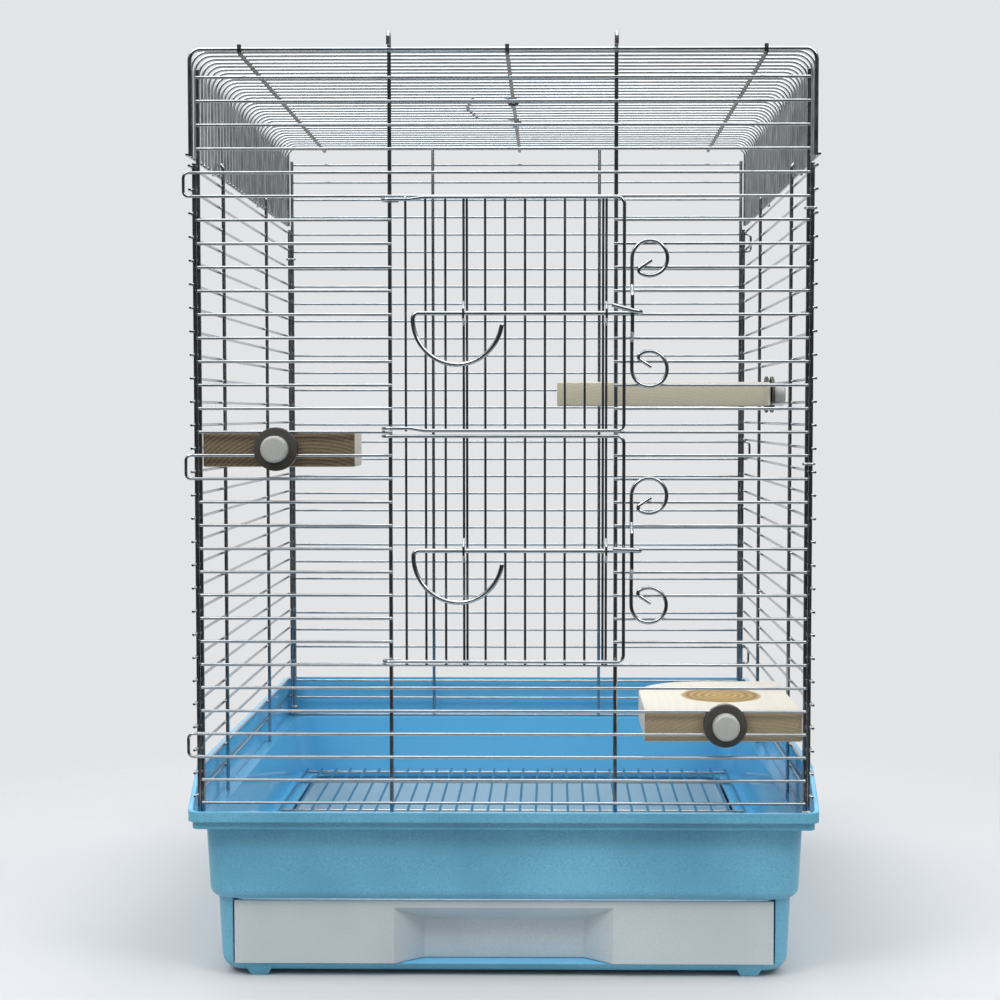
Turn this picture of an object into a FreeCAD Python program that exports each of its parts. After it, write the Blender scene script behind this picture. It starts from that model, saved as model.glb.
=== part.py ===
"""Small-pet wire cage standing in a moulded base with a pull-out drawer.

Millimetres, +Z up, front towards -Y. The origin is the middle of the footprint, on the
surface that the feet stand on. Each piece is written to parts/NODE.step.
"""
import FreeCAD, Part
import math
import os

V = FreeCAD.Vector
X = V(1, 0, 0)
Y = V(0, 1, 0)
Z = V(0, 0, 1)

# --- fits ---------------------------------------------------------------------------
SEAT = 0.02           # between pieces that are welded, clamped or resting
RUNNING = 0.3         # between pieces that move past each other
SCREW_FIT = 0.05      # round a bolt, on the radius

# --- base moulding ------------------------------------------------------------------
BASE_WIDTH = 370.0
BASE_DEPTH = 415.0
RIM_HEIGHT = 124.0          # sides and back
FRONT_RIM_HEIGHT = 102.5
RIM_BAND_BOTTOM = 96.5
RIM_WALL = 2.8
RIM_CORNER = 8.0
BODY_CORNER = 16.0
BAND_STEP = 2.5             # second band, in from the rim
LEDGE_HEIGHT = 94.0
LEDGE_PLATE = 2.0
LEDGE_WIDTH = 7.7
FRONT_LEDGE_WIDTH = 10.3
LEDGE_EDGE_ROUND = 3.0
BOWL_WALL = 3.0
BOWL_DRAFT = 2.0
FLOOR_HEIGHT = 50.5
FLOOR_PLATE = 2.8
FLOOR_BORDER = 12.5         # shelf that the floor grid lies on
BODY_EDGE_ROUND = 6.0
HOUSING_SETBACK = 4.0       # drawer housing, in from the body
HOUSING_DRAFT = 2.0
HOUSING_EDGE = 9.0
HOUSING_BOTTOM = 2.5
BAY_FLOOR = 8.1
BAY_FLOOR_PLATE = 2.8
SKIRT_WALL = 6.0
HOUSING_WALL = 2.8
RAMP_START = 5.5            # behind the front: where the side rims begin to rise
RAMP_END = 36.5
RAMP_ROUND = 12.0
FOOT_TOP = (17.0, 30.0)
FOOT_BOTTOM = (10.0, 24.0)
FOOT_INSET_X = 39.0
FOOT_INSET_Y = 34.0

# --- drawer -------------------------------------------------------------------------
DRAWER_SIDE_INSET = 25.0    # its side, in from the base's side
DRAWER_BACK_INSET = 23.5
DRAWER_SIDE_GAP = 1.0
DRAWER_TOP = 46.2
DRAWER_RIM = 43.5
DRAWER_WALL = 2.3
DRAWER_CORNER = 5.0
PULL_HALF_OUTER = 65.0
PULL_HALF_INNER = 48.0
PULL_DEPTH = 14.0
PULL_TOP_OUTER = 42.0
PULL_TOP_INNER = 32.0

# --- floor grid ---------------------------------------------------------------------
GRID_RODS = 30
GRID_ROD = 1.8
GRID_CROSS_ROD = 2.0
GRID_SIDE_INSET = 19.845    # outermost rods, in from the base's sides
GRID_END_INSET = 20.5       # ends of the rods, in from the base's front and back
GRID_CROSS_INSETS = (3.0, 44.0, 148.0)      # cross rods, in from the ends of the rods
GRID_OVERHANG = 1.5

# --- wire panels --------------------------------------------------------------------
FINE_WIRE = 1.8
POST_WIRE = 2.4
CROSS_PITCH = 13.6
FRONT_CROSS_TOP = 528.1
BACK_CROSS_TOP = 530.2
SIDE_CROSS_SKIPPED = 3      # front cross wires above the top one of the sides
SIDE_CROSS_SHIFT = 9.6      # side cross wires below the level of the front ones
CROSS_FLOORS = dict(front=12.0, back=0.9, side=16.0)    # lowest wires, least height above the ledge
CAGE_SIDE_CLEARANCE = 0.38  # side cross wires to the inside of the rim
CAGE_END_CLEARANCE = 5.5    # middle of the front and back cross wires to the same
DOOR_POST_X = 65.5
CROSS_TAIL = 0.6            # cross wire past the middle of its last post
SIDE_CROSS_TAIL = 3.2
CORNER_POST_TOP = 533.0
BACK_POST_TOP = 545.0       # the two back posts in line with the doorway
SIDE_POST_TOP = 479.6
SIDE_HOOK_GAPS = (8, 24)    # the gaps between arches that the side posts' hooks stand in
SNAP_HEIGHTS = (474.0, 311.0, 148.0)    # near the upper wire of each pair with a snap loop
SNAP_OVERHANG = 5.8         # snap loops, out past the middle of the side posts
SNAP_BEND = 3.0
HOOK_DROP = 4.5

# --- roof ---------------------------------------------------------------------------
ROOF_HEIGHT = 543.4
ROOF_OVERHANG = 1.5         # arch legs, out past the middle of the side posts
ROOF_CORNER = 10.0
ROOF_SKIRT_BOTTOM = 482.6
ARCH_COUNT = 36
ARCH_INSET = 6.505          # first and last arch, in from the end arches
END_ARCH_WIRE = 2.4
END_ARCH_OVERHANG = 1.2
END_ARCH_FORWARD = 1.8      # end arches, out past the front and back cross wires
END_ARCH_CORNER = 6.0
RAIL_HEIGHT = 484.0
BRACE_WIRE = 2.4
BRACE_INSET = 29.3          # outer braces, in from the arch legs
MIDDLE_BRACE_X = 2.7
BRACE_TIP = 4.9
BRACE_BEND = 2.4
POST_HOOK_TOP = 554.6
SIDE_HOOK_TOP = 492.6

# --- carrying handle ----------------------------------------------------------------
HANDLE_WIRE = 2.4
HANDLE_ARM_GAPS = (14, 22)  # the gaps between arches that its arms pass through
HANDLE_REACH = 32.5
HANDLE_PEAK_ANGLE = 8.0
HANDLE_PEAK_BEND = 50.0
HANDLE_CORNER = 6.0
HANDLE_RISE_ANGLE = 9.0

# --- hinge rings --------------------------------------------------------------------
RING_WIRE = 1.6
FRONT_RINGS = ((106.0, 5.0), (310.0, 4.9), (460.0, 6.8))    # near a cross wire; drop below it
BACK_RINGS = ((108.0, 6.8), (312.0, 5.8), (462.0, 5.8))

# --- doors --------------------------------------------------------------------------
DOOR_WIRE = 2.0
DOOR_BAR = 1.5
DOOR_RIGHT_X = 70.1
DOOR_CORNER = 4.0
CURL_SLACK = 0.35
CURL_TAIL = 5.0
CURL_LEVEL_RUN = 11.0
STEP_ANGLE = 9.0            # change of level between the door's edge and its curl
STEP_BEND = 12.0
DOOR_BAR_FIRST_X = -56.1
DOOR_BAR_PITCH = 11.5
DOOR_BAR_COUNT = 11
GUIDED_BARS = (3, 10)       # bars doubled by a rod guide
TWIN_SPACING = 1.9
UPPER_DOOR = (459.1, 325.0)
LOWER_DOOR = (321.7, 190.4)
UPPER_CURLS = (457.9, 326.3)
LOWER_CURLS = (321.7, 190.4)
UPPER_BAR_TAILS = (0.6, 0.6)
LOWER_BAR_TAILS = (0.6, 2.4)

# --- door latches and keepers -------------------------------------------------------
LATCH_WIRE = 2.6
UPPER_LATCH_HEIGHT = 392.5
LOWER_LATCH_HEIGHT = 255.4
LATCH_TIP_X = 80.7
LATCH_RETURN = 13.0
RETURN_LIFT = 0.9
UPPER_RETURN_SLOPE = 15.0   # degrees that the folded-back end stands up
LOWER_RETURN_SLOPE = 2.0
RETURN_BEND = 5.0
LATCH_LEFT_X = -51.7
LATCH_HANDLE_BEND = 3.2
LATCH_HANDLE_RADIUS = 26.4
LATCH_HANDLE_SWEEP = 172.0
LATCH_HANDLE_TURN = 11.0    # the loop stands out towards its free end
GUIDE_WIRE = 1.6
KEEPER_WIRE = 2.2
KEEPER_X = 74.6
KEEPER_STAND_OFF_HALF = 9.5
KEEPER_SCROLL_CENTRE = 31.9
KEEPER_SCROLL_RADIUS = 10.2
KEEPER_SCROLL_SWEEP = 302.0
KEEPER_TAIL_BEND = 1.9
KEEPER_TAIL = 8.0

# --- ledges and their fasteners -----------------------------------------------------
LEFT_LEDGE = dict(post_gap=0.28, width=88.4, depth=95.0, corner=58.0, below=10.5, above=9.6)
RIGHT_LEDGE = dict(post_gap=0.18, width=92.0, depth=123.5, corner=44.0, below=10.2, above=8.1)
SIDE_LEDGE_LENGTH = 145.98
SIDE_LEDGE_WIDTH = 80.0
SIDE_LEDGE_POST_GAP = 2.6   # to the hooked post behind it
SIDE_LEDGE_CORNER = 8.0
SIDE_LEDGE_HALF_THICKNESS = 8.1
LEDGE_EDGE = 1.0
LEFT_BOLT = dict(across=42.9, near=314.0, shift=-3.1)       # from the ledge's outer side
RIGHT_BOLT = dict(across=45.2, near=153.0, shift=-1.3)
SIDE_BOLT = dict(across=40.0, near=348.0, shift=-0.2)       # from the ledge's back edge
BOLT_DIAMETER = 5.0
BOLT_IN_WOOD = 22.0
BOLT_IN_NUT = 5.5
WASHER_DIAMETER = 25.4
WASHER_THICKNESS = 2.0
WASHER_ROUND = 0.6
NUT_DIAMETER = 15.6
NUT_LENGTH = 8.0
NUT_DOME = 1.8

# --- places worked out from the values above ----------------------------------------
DRAWER_HALF_WIDTH = BASE_WIDTH / 2 - DRAWER_SIDE_INSET
DRAWER_BACK = BASE_DEPTH / 2 - DRAWER_BACK_INSET
GRID_PITCH = (BASE_WIDTH - 2 * GRID_SIDE_INSET) / (GRID_RODS - 1)
GRID_HALF_LENGTH = BASE_DEPTH / 2 - GRID_END_INSET
CROSS_Y = BASE_DEPTH / 2 - RIM_WALL - CAGE_END_CLEARANCE
POST_Y = CROSS_Y - (FINE_WIRE + POST_WIRE) / 2 - SEAT
SIDE_CROSS_X = BASE_WIDTH / 2 - RIM_WALL - CAGE_SIDE_CLEARANCE - FINE_WIRE / 2
SIDE_POST_X = SIDE_CROSS_X - (FINE_WIRE + POST_WIRE) / 2 - SEAT
SIDE_CROSS_TOP = FRONT_CROSS_TOP - SIDE_CROSS_SKIPPED * CROSS_PITCH - SIDE_CROSS_SHIFT
SNAP_REACH = SIDE_POST_X + SNAP_OVERHANG
ROOF_HALF_WIDTH = SIDE_POST_X + ROOF_OVERHANG
END_ARCH_HALF_WIDTH = SIDE_POST_X + END_ARCH_OVERHANG
END_ARCH_Y = CROSS_Y + END_ARCH_FORWARD
ARCH_PITCH = 2 * (END_ARCH_Y - ARCH_INSET) / (ARCH_COUNT - 1)
BRACE_PLACES = (BRACE_INSET - ROOF_HALF_WIDTH, MIDDLE_BRACE_X, ROOF_HALF_WIDTH - BRACE_INSET)
CORNER_POST_X = SIDE_POST_X - POST_WIRE - SEAT
POST_FOOT = LEDGE_HEIGHT + SEAT
BRACE_Z = ROOF_HEIGHT - (FINE_WIRE + BRACE_WIRE) / 2 - SEAT
END_ARCH_Z = BRACE_Z + (END_ARCH_WIRE + BRACE_WIRE) / 2 + SEAT
RAIL_X = ROOF_HALF_WIDTH + FINE_WIRE + SEAT
BAR_Y = -(CROSS_Y + FINE_WIRE / 2 + RUNNING + DOOR_BAR / 2)
FRAME_Y = BAR_Y - (DOOR_BAR + DOOR_WIRE) / 2 - SEAT
CURL_BACK_Y = -POST_Y + (POST_WIRE + DOOR_WIRE) / 2 + CURL_SLACK
CURL_RADIUS = (CURL_BACK_Y - FRAME_Y) / 2
HINGE_Y = (CURL_BACK_Y + FRAME_Y) / 2
ROD_Y = FRAME_Y - (DOOR_WIRE + LATCH_WIRE) / 2 - RUNNING
KEEPER_Y = -(CROSS_Y + (FINE_WIRE + KEEPER_WIRE) / 2 + SEAT)
KEEPER_RAISED_Y = ROD_Y - (LATCH_WIRE + KEEPER_WIRE) / 2 - RUNNING
RETURN_Y = KEEPER_RAISED_Y - (LATCH_WIRE + KEEPER_WIRE) / 2 - RUNNING
GUIDE_Y = ROD_Y - (LATCH_WIRE + GUIDE_WIRE) / 2 - RUNNING
CORNER_POST_FACE = CORNER_POST_X - POST_WIRE / 2
CLAMP_INNER = CROSS_Y - FINE_WIRE / 2 - SEAT      # inside face of the cross wires
CLAMP_OUTER = CROSS_Y + FINE_WIRE / 2 + SEAT


# === helpers ========================================================================
class BentWire:
    """A wire followed from one end to the other, as a bending machine forms it."""

    def __init__(self, start, heading):
        self.place = V(start)
        self.heading = V(heading)
        self.edges = []

    def run(self, length):
        """Goes straight on."""
        end = self.place + self.heading * length
        self.edges.append(Part.LineSegment(self.place, end).toShape())
        self.place = end
        return self

    def run_level_with(self, point):
        """Goes straight on until it is level with a point."""
        return self.run((V(point) - self.place).dot(self.heading))

    def bend(self, axis, radius, degrees):
        """Turns about an axis, along an arc of the given radius."""
        centre = self.place + axis.cross(self.heading) * radius
        spoke = self.place - centre
        half = FreeCAD.Rotation(axis, degrees / 2)
        full = FreeCAD.Rotation(axis, degrees)
        middle = centre + half.multVec(spoke)
        end = centre + full.multVec(spoke)
        self.edges.append(Part.Arc(self.place, middle, end).toShape())
        self.place = end
        self.heading = full.multVec(self.heading)
        return self

    def step(self, axis, radius, degrees, offset):
        """Shifts sideways by two opposite bends with a straight run between them."""
        angle = math.radians(degrees)
        slant = (offset - 2 * radius * (1 - math.cos(angle))) / math.sin(angle)
        self.bend(axis, radius, degrees)
        self.run(slant)
        self.bend(-axis, radius, degrees)
        return self

    def solid(self, diameter):
        return swept(self.edges, diameter)


def swept(edges, diameter):
    """A round wire of one diameter along edges that join smoothly."""
    path = Part.Wire(edges)
    first = path.OrderedEdges[0]
    start = path.OrderedVertexes[0].Point
    at_start = first.valueAt(first.FirstParameter)
    flipped = (at_start - start).Length > 1e-6
    parameter = first.LastParameter if flipped else first.FirstParameter
    section = Part.Face(Part.Wire(Part.makeCircle(diameter / 2, start, first.tangentAt(parameter))))
    return path.makePipe(section)


def mirrored_wire(half_edges, plane_point, plane_normal, diameter):
    """A wire whose second half mirrors its first about a plane."""
    other = [edge.mirror(plane_point, plane_normal) for edge in half_edges]
    return swept(Part.__sortEdges__(half_edges + other), diameter)


def straight_wire(start, end, diameter):
    along = end - start
    return Part.makeCylinder(diameter / 2, along.Length, start, along)


def rounded_rectangle(half_width, half_depth, corner, height):
    """A level wire, centred on the origin, with round corners."""
    inner_x = half_width - corner
    inner_y = half_depth - corner
    diagonal = corner * math.sqrt(0.5)
    edges = []
    for quarter in range(4):
        sign_x = 1 if quarter in (0, 3) else -1
        sign_y = 1 if quarter in (0, 1) else -1
        along_x = V(sign_x * half_width, sign_y * inner_y, height)
        along_y = V(sign_x * inner_x, sign_y * half_depth, height)
        middle = V(sign_x * (inner_x + diagonal), sign_y * (inner_y + diagonal), height)
        ends = (along_x, along_y) if quarter % 2 == 0 else (along_y, along_x)
        edges.append(Part.Arc(ends[0], middle, ends[1]).toShape())
    corners = list(edges)
    for quarter in range(4):
        start = corners[quarter].valueAt(corners[quarter].LastParameter)
        following = corners[(quarter + 1) % 4]
        end = following.valueAt(following.FirstParameter)
        edges.append(Part.LineSegment(start, end).toShape())
    return Part.Wire(Part.__sortEdges__(edges))


def drafted_block(bottom, top, z_bottom, z_top):
    """A block between two rounded rectangles, each (half width, half depth, corner)."""
    return Part.makeLoft([rounded_rectangle(*bottom, z_bottom), rounded_rectangle(*top, z_top)],
                         True, True)


def plain_block(x, y, z):
    """A box from three (low, high) pairs."""
    return Part.makeBox(x[1] - x[0], y[1] - y[0], z[1] - z[0], V(x[0], y[0], z[0]))


def rim_edges(shape, height):
    """The edges that lie level at one height."""
    return [edge for edge in shape.Edges
            if abs(edge.BoundBox.ZMin - height) < 1e-4 and abs(edge.BoundBox.ZMax - height) < 1e-4]


def save(node, solids):
    """Writes one node: a single solid, or a group of separate solids."""
    shape = solids[0] if len(solids) == 1 else Part.makeCompound(solids)
    shape.exportStep("parts/" + node + ".step")


# === base ===========================================================================
def body_sizes():
    """Half width and half depth of the bowl at its top and bottom, inside."""
    top = (BASE_WIDTH / 2 - RIM_WALL - LEDGE_WIDTH, BASE_DEPTH / 2 - RIM_WALL - FRONT_LEDGE_WIDTH)
    bottom = (top[0] - BOWL_DRAFT, top[1] - BOWL_DRAFT)
    return top, bottom


def base_outside():
    """The solid outline: rim, second band, bowl and drawer housing."""
    half_w = BASE_WIDTH / 2
    half_d = BASE_DEPTH / 2
    rim = (half_w, half_d, RIM_CORNER)
    band = (half_w - BAND_STEP, half_d - BAND_STEP, RIM_CORNER - BAND_STEP)
    under_ledge = LEDGE_HEIGHT - LEDGE_PLATE
    outline = drafted_block(rim, rim, RIM_BAND_BOTTOM, RIM_HEIGHT)
    outline = outline.fuse(drafted_block(band, band, under_ledge, RIM_BAND_BOTTOM))

    bowl_top, bowl_bottom = body_sizes()
    top = (bowl_top[0] + BOWL_WALL, bowl_top[1] + BOWL_WALL, BODY_CORNER)
    bottom = (bowl_bottom[0] + BOWL_WALL, bowl_bottom[1] + BOWL_WALL, BODY_CORNER)
    body_foot = FLOOR_HEIGHT - FLOOR_PLATE
    body = drafted_block(bottom, top, body_foot, under_ledge)
    body = body.makeFillet(BODY_EDGE_ROUND, rim_edges(body, body_foot))

    upper = (bottom[0] - HOUSING_SETBACK, bottom[1] - HOUSING_SETBACK, BODY_CORNER)
    lower = (upper[0] - HOUSING_DRAFT, upper[1] - HOUSING_DRAFT, BODY_CORNER)
    housing = drafted_block(lower, upper, HOUSING_BOTTOM, body_foot + FLOOR_PLATE / 2)
    housing = housing.makeFillet(HOUSING_EDGE, rim_edges(housing, HOUSING_BOTTOM))
    return outline.fuse(body).fuse(housing), upper, lower


def base_hollows(upper, lower):
    """Everything that is taken out of the outline."""
    rim_inside = (BASE_WIDTH / 2 - RIM_WALL, BASE_DEPTH / 2 - RIM_WALL, RIM_CORNER - RIM_WALL)
    above = RIM_HEIGHT + 10
    well = drafted_block(rim_inside, rim_inside, LEDGE_HEIGHT, above)

    bowl_top, bowl_bottom = body_sizes()
    corner = BODY_CORNER - BOWL_WALL
    bowl = drafted_block((*bowl_bottom, corner), (*bowl_top, corner), FLOOR_HEIGHT, LEDGE_HEIGHT)
    window = (bowl_bottom[0] - FLOOR_BORDER, bowl_bottom[1] - FLOOR_BORDER / 2, corner)
    bay_roof = FLOOR_HEIGHT - FLOOR_PLATE
    opening = drafted_block(window, window, bay_roof, FLOOR_HEIGHT)

    bay_top = (upper[0] - HOUSING_WALL, upper[1] - HOUSING_WALL, BODY_CORNER - HOUSING_WALL)
    bay_bottom = (lower[0] - HOUSING_WALL, lower[1] - HOUSING_WALL, BODY_CORNER - HOUSING_WALL)
    bay = drafted_block(bay_bottom, bay_top, BAY_FLOOR, bay_roof)
    mouth_half = DRAWER_HALF_WIDTH + DRAWER_SIDE_GAP
    mouth = plain_block((-mouth_half, mouth_half), (-BASE_DEPTH / 2, 0), (BAY_FLOOR, bay_roof))

    pocket_half = (lower[0] - SKIRT_WALL, lower[1] - SKIRT_WALL, BODY_CORNER - SKIRT_WALL)
    pocket = drafted_block(pocket_half, pocket_half, 0, BAY_FLOOR - BAY_FLOOR_PLATE)
    return [well, bowl, opening, bay, mouth, pocket]


def front_rim_cut():
    """What is cut away above the low front rim, up to the ramps at its ends."""
    front = -BASE_DEPTH / 2 - 10
    above = RIM_HEIGHT + 10
    ramp = (RAMP_START - BASE_DEPTH / 2, RAMP_END - BASE_DEPTH / 2)
    behind = ramp[1] + 2 * RAMP_END
    outline = [V(0, front, above), V(0, front, FRONT_RIM_HEIGHT), V(0, ramp[0], FRONT_RIM_HEIGHT),
               V(0, ramp[1], RIM_HEIGHT), V(0, behind, RIM_HEIGHT), V(0, behind, above)]
    face = Part.Face(Part.makePolygon(outline + outline[:1]))
    cut = face.extrude(X * (BASE_WIDTH + 20))
    cut.translate(V(-BASE_WIDTH / 2 - 10, 0, 0))
    across = [edge for edge in cut.Edges if edge.BoundBox.XLength > BASE_WIDTH]
    bends = [edge for edge in across
             if min(abs(edge.BoundBox.YMin - place) for place in ramp) < 0.1]
    return cut.makeFillet(RAMP_ROUND, bends)


def foot(x, y):
    """One tapered foot under the housing."""
    top_z = BAY_FLOOR - BAY_FLOOR_PLATE / 2
    outlines = []
    for (width, depth), height in ((FOOT_BOTTOM, 0), (FOOT_TOP, top_z)):
        corners = [V(x - width / 2, y - depth / 2, height), V(x + width / 2, y - depth / 2, height),
                   V(x + width / 2, y + depth / 2, height), V(x - width / 2, y + depth / 2, height)]
        outlines.append(Part.makePolygon(corners + corners[:1]))
    return Part.makeLoft(outlines, True, True)


def base_shell():
    """Rim, bowl, floor shelf, drawer housing and feet, moulded in one."""
    shell, upper, lower = base_outside()
    for hollow in base_hollows(upper, lower):
        shell = shell.cut(hollow)
    shell = shell.cut(front_rim_cut())
    for side in (-1, 1):
        for end in (-1, 1):
            shell = shell.fuse(foot(side * (BASE_WIDTH / 2 - FOOT_INSET_X),
                                    end * (BASE_DEPTH / 2 - FOOT_INSET_Y)))
    return shell.removeSplitter()


def pull_scoop(grow):
    """The finger scoop in the drawer front, made larger all round by grow."""
    front = -drawer_front()
    outer = PULL_HALF_OUTER + grow
    inner = PULL_HALF_INNER + grow
    low = -10.0
    faces = []
    for half, y, top in ((outer, front, PULL_TOP_OUTER + grow),
                         (inner, front + PULL_DEPTH + grow, PULL_TOP_INNER + grow)):
        corners = [V(-half, y, low), V(half, y, low), V(half, y, top), V(-half, y, top)]
        faces.append(Part.makePolygon(corners + corners[:1]))
    return Part.makeLoft(faces, True, True)


def drawer_front():
    """How far the drawer's front stands from the middle: level with the housing."""
    return body_sizes()[1][1] + BOWL_WALL - HOUSING_SETBACK - HOUSING_DRAFT / 2


def drawer():
    """Open tray whose front has a scoop for the fingers."""
    half = DRAWER_HALF_WIDTH
    front = -drawer_front()
    bottom = BAY_FLOOR + RUNNING
    outside = plain_block((-half, half), (front, DRAWER_BACK), (bottom, DRAWER_RIM))
    upright = [edge for edge in outside.Edges if edge.BoundBox.ZLength > 1]
    outside = outside.makeFillet(DRAWER_CORNER, [e for e in upright if e.BoundBox.YMin > 0])
    plate = plain_block((-half, half), (front, front + DRAWER_WALL), (bottom, DRAWER_TOP))
    outside = outside.fuse(plate)
    wall = DRAWER_WALL
    inside = plain_block((-half + wall, half - wall), (front + wall, DRAWER_BACK - wall),
                         (bottom + wall, DRAWER_TOP + 5))
    inside = inside.cut(pull_scoop(wall))
    return outside.cut(inside).cut(pull_scoop(0)).removeSplitter()


# === floor grid =====================================================================
def floor_grid():
    """Rods from front to back, welded on top of cross rods that lie on the shelf."""
    cross_z = FLOOR_HEIGHT + SEAT + GRID_CROSS_ROD / 2
    rod_z = cross_z + (GRID_CROSS_ROD + GRID_ROD) / 2 + SEAT
    half = GRID_PITCH * (GRID_RODS - 1) / 2
    rods = []
    for index in range(GRID_RODS):
        x = -half + GRID_PITCH * index
        rods.append(straight_wire(V(x, -GRID_HALF_LENGTH, rod_z), V(x, GRID_HALF_LENGTH, rod_z), GRID_ROD))
    reach = half + GRID_OVERHANG
    places = [end * (GRID_HALF_LENGTH - inset) for end in (-1, 1) for inset in GRID_CROSS_INSETS]
    crosses = [straight_wire(V(-reach, y, cross_z), V(reach, y, cross_z), GRID_CROSS_ROD)
               for y in places]
    return rods, crosses


# === wire panels ====================================================================
def cross_height(top, index):
    return top - CROSS_PITCH * index


def cross_count(top, floor):
    """How many cross wires stand between the top one and the base's ledge."""
    return 1 + int((top - LEDGE_HEIGHT - floor) / CROSS_PITCH)


def snap_wires(top):
    """The upper wire of each pair that ends in a snap loop, counted from the top."""
    return [round((top - height) / CROSS_PITCH) for height in SNAP_HEIGHTS]


def below_cross_wire(top, near, drop):
    """A height that lies a given drop below the cross wire nearest to another."""
    return cross_height(top, round((top - near) / CROSS_PITCH)) - drop


def bolt_height(top, bolt):
    """Between two cross wires: the gap nearest to a height, and a shift from its middle."""
    gap = round((top - bolt["near"]) / CROSS_PITCH - 0.5)
    return cross_height(top, gap + 0.5) + bolt["shift"]


def in_doorway(height):
    return LOWER_DOOR[1] < height < UPPER_DOOR[0]


def cross_wire(y, z, left, right):
    return straight_wire(V(left, y, z), V(right, y, z), FINE_WIRE)


def snap_pair(y, top, index, plain_end, side):
    """Two cross wires bent from one length, joined outside the post by a snap loop."""
    upper = cross_height(top, index)
    across = X * side
    turn = Y * side
    wire = BentWire(V(plain_end, y, upper), across)
    wire.run_level_with(across * (SNAP_REACH - SNAP_BEND) + V(0, 0, upper))
    wire.bend(turn, SNAP_BEND, 90)
    wire.run(CROSS_PITCH - 2 * SNAP_BEND)
    wire.bend(turn, SNAP_BEND, 90)
    wire.run_level_with(V(plain_end, y, 0))
    return wire.solid(FINE_WIRE)


def front_panel():
    """Cross wires, snap-loop wires and corner posts of the front."""
    end = CORNER_POST_X + CROSS_TAIL
    jamb = DOOR_POST_X - POST_WIRE / 2
    first_rows = snap_wires(FRONT_CROSS_TOP)
    snap_rows = [row for first in first_rows for row in (first, first + 1)]
    crosses = []
    for row in range(cross_count(FRONT_CROSS_TOP, CROSS_FLOORS["front"])):
        z = cross_height(FRONT_CROSS_TOP, row)
        if in_doorway(z):
            crosses.append(cross_wire(-CROSS_Y, z, jamb, end))
        if in_doorway(z) and row not in snap_rows:
            crosses.append(cross_wire(-CROSS_Y, z, -end, -jamb))
        if not in_doorway(z) and row not in snap_rows:
            crosses.append(cross_wire(-CROSS_Y, z, -end, end))
    snaps = []
    for first in first_rows:
        plain_end = -jamb if in_doorway(cross_height(FRONT_CROSS_TOP, first)) else end
        snaps.append(snap_pair(-CROSS_Y, FRONT_CROSS_TOP, first, plain_end, -1))
    posts = [straight_wire(V(side * CORNER_POST_X, -POST_Y, POST_FOOT),
                           V(side * CORNER_POST_X, -POST_Y, CORNER_POST_TOP), POST_WIRE)
             for side in (-1, 1)]
    return crosses, snaps, posts


def door_posts():
    """The two posts beside the doorway, hooked over the roof's front arch."""
    front_leg_y = -(END_ARCH_Y + (END_ARCH_WIRE + POST_WIRE) / 2 + RUNNING)
    radius = (-POST_Y - front_leg_y) / 2
    posts = []
    for side in (-1, 1):
        wire = BentWire(V(side * DOOR_POST_X, -POST_Y, POST_FOOT), Z)
        wire.run_level_with(V(0, 0, POST_HOOK_TOP - POST_WIRE / 2 - radius))
        wire.bend(X, radius, 180)
        wire.run(HOOK_DROP)
        posts.append(wire.solid(POST_WIRE))
    return posts


def back_panel():
    """Cross wires, snap-loop wires and four posts of the back."""
    end = CORNER_POST_X + CROSS_TAIL
    first_rows = snap_wires(BACK_CROSS_TOP)
    snap_rows = [row for first in first_rows for row in (first, first + 1)]
    crosses = [cross_wire(CROSS_Y, cross_height(BACK_CROSS_TOP, row), -end, end)
               for row in range(cross_count(BACK_CROSS_TOP, CROSS_FLOORS["back"]))
               if row not in snap_rows]
    snaps = [snap_pair(CROSS_Y, BACK_CROSS_TOP, first, -end, 1) for first in first_rows]
    sizes = ((CORNER_POST_X, CORNER_POST_TOP), (DOOR_POST_X, BACK_POST_TOP))
    posts = [straight_wire(V(side * x, POST_Y, POST_FOOT), V(side * x, POST_Y, top), POST_WIRE)
             for side in (-1, 1) for x, top in sizes]
    return crosses, snaps, posts


def side_panel(side):
    """Cross wires and posts of one side; the middle posts hook over the roof's rail."""
    reach = POST_Y + SIDE_CROSS_TAIL
    x = side * SIDE_CROSS_X
    crosses = []
    for row in range(cross_count(SIDE_CROSS_TOP, CROSS_FLOORS["side"])):
        z = cross_height(SIDE_CROSS_TOP, row)
        crosses.append(straight_wire(V(x, -reach, z), V(x, reach, z), FINE_WIRE))
    posts = [straight_wire(V(side * SIDE_POST_X, y, POST_FOOT), V(side * SIDE_POST_X, y, SIDE_POST_TOP),
                           POST_WIRE) for y in (-POST_Y, POST_Y)]
    outer_leg = RAIL_X + (FINE_WIRE + POST_WIRE) / 2 + RUNNING
    radius = (outer_leg - SIDE_POST_X) / 2
    for gap in SIDE_HOOK_GAPS:
        wire = BentWire(V(side * SIDE_POST_X, arch_place(gap + 0.5), POST_FOOT), Z)
        wire.run_level_with(V(0, 0, SIDE_HOOK_TOP - POST_WIRE / 2 - radius))
        wire.bend(Y * side, radius, 180)
        wire.run(HOOK_DROP)
        posts.append(wire.solid(POST_WIRE))
    return crosses, posts


# === roof ===========================================================================
def arch(y, half_width, height, corner, diameter):
    """One wire bent over the top and down both sides."""
    wire = BentWire(V(-half_width, y, ROOF_SKIRT_BOTTOM), Z)
    wire.run(height - corner - ROOF_SKIRT_BOTTOM)
    wire.bend(Y, corner, 90)
    wire.run(2 * (half_width - corner))
    wire.bend(Y, corner, 90)
    wire.run(height - corner - ROOF_SKIRT_BOTTOM)
    return wire.solid(diameter)


def arch_place(number):
    """Where arch 0, 1, 2 ... stands along Y; halves lie midway between two."""
    return ARCH_PITCH * (number - (ARCH_COUNT - 1) / 2)


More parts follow.
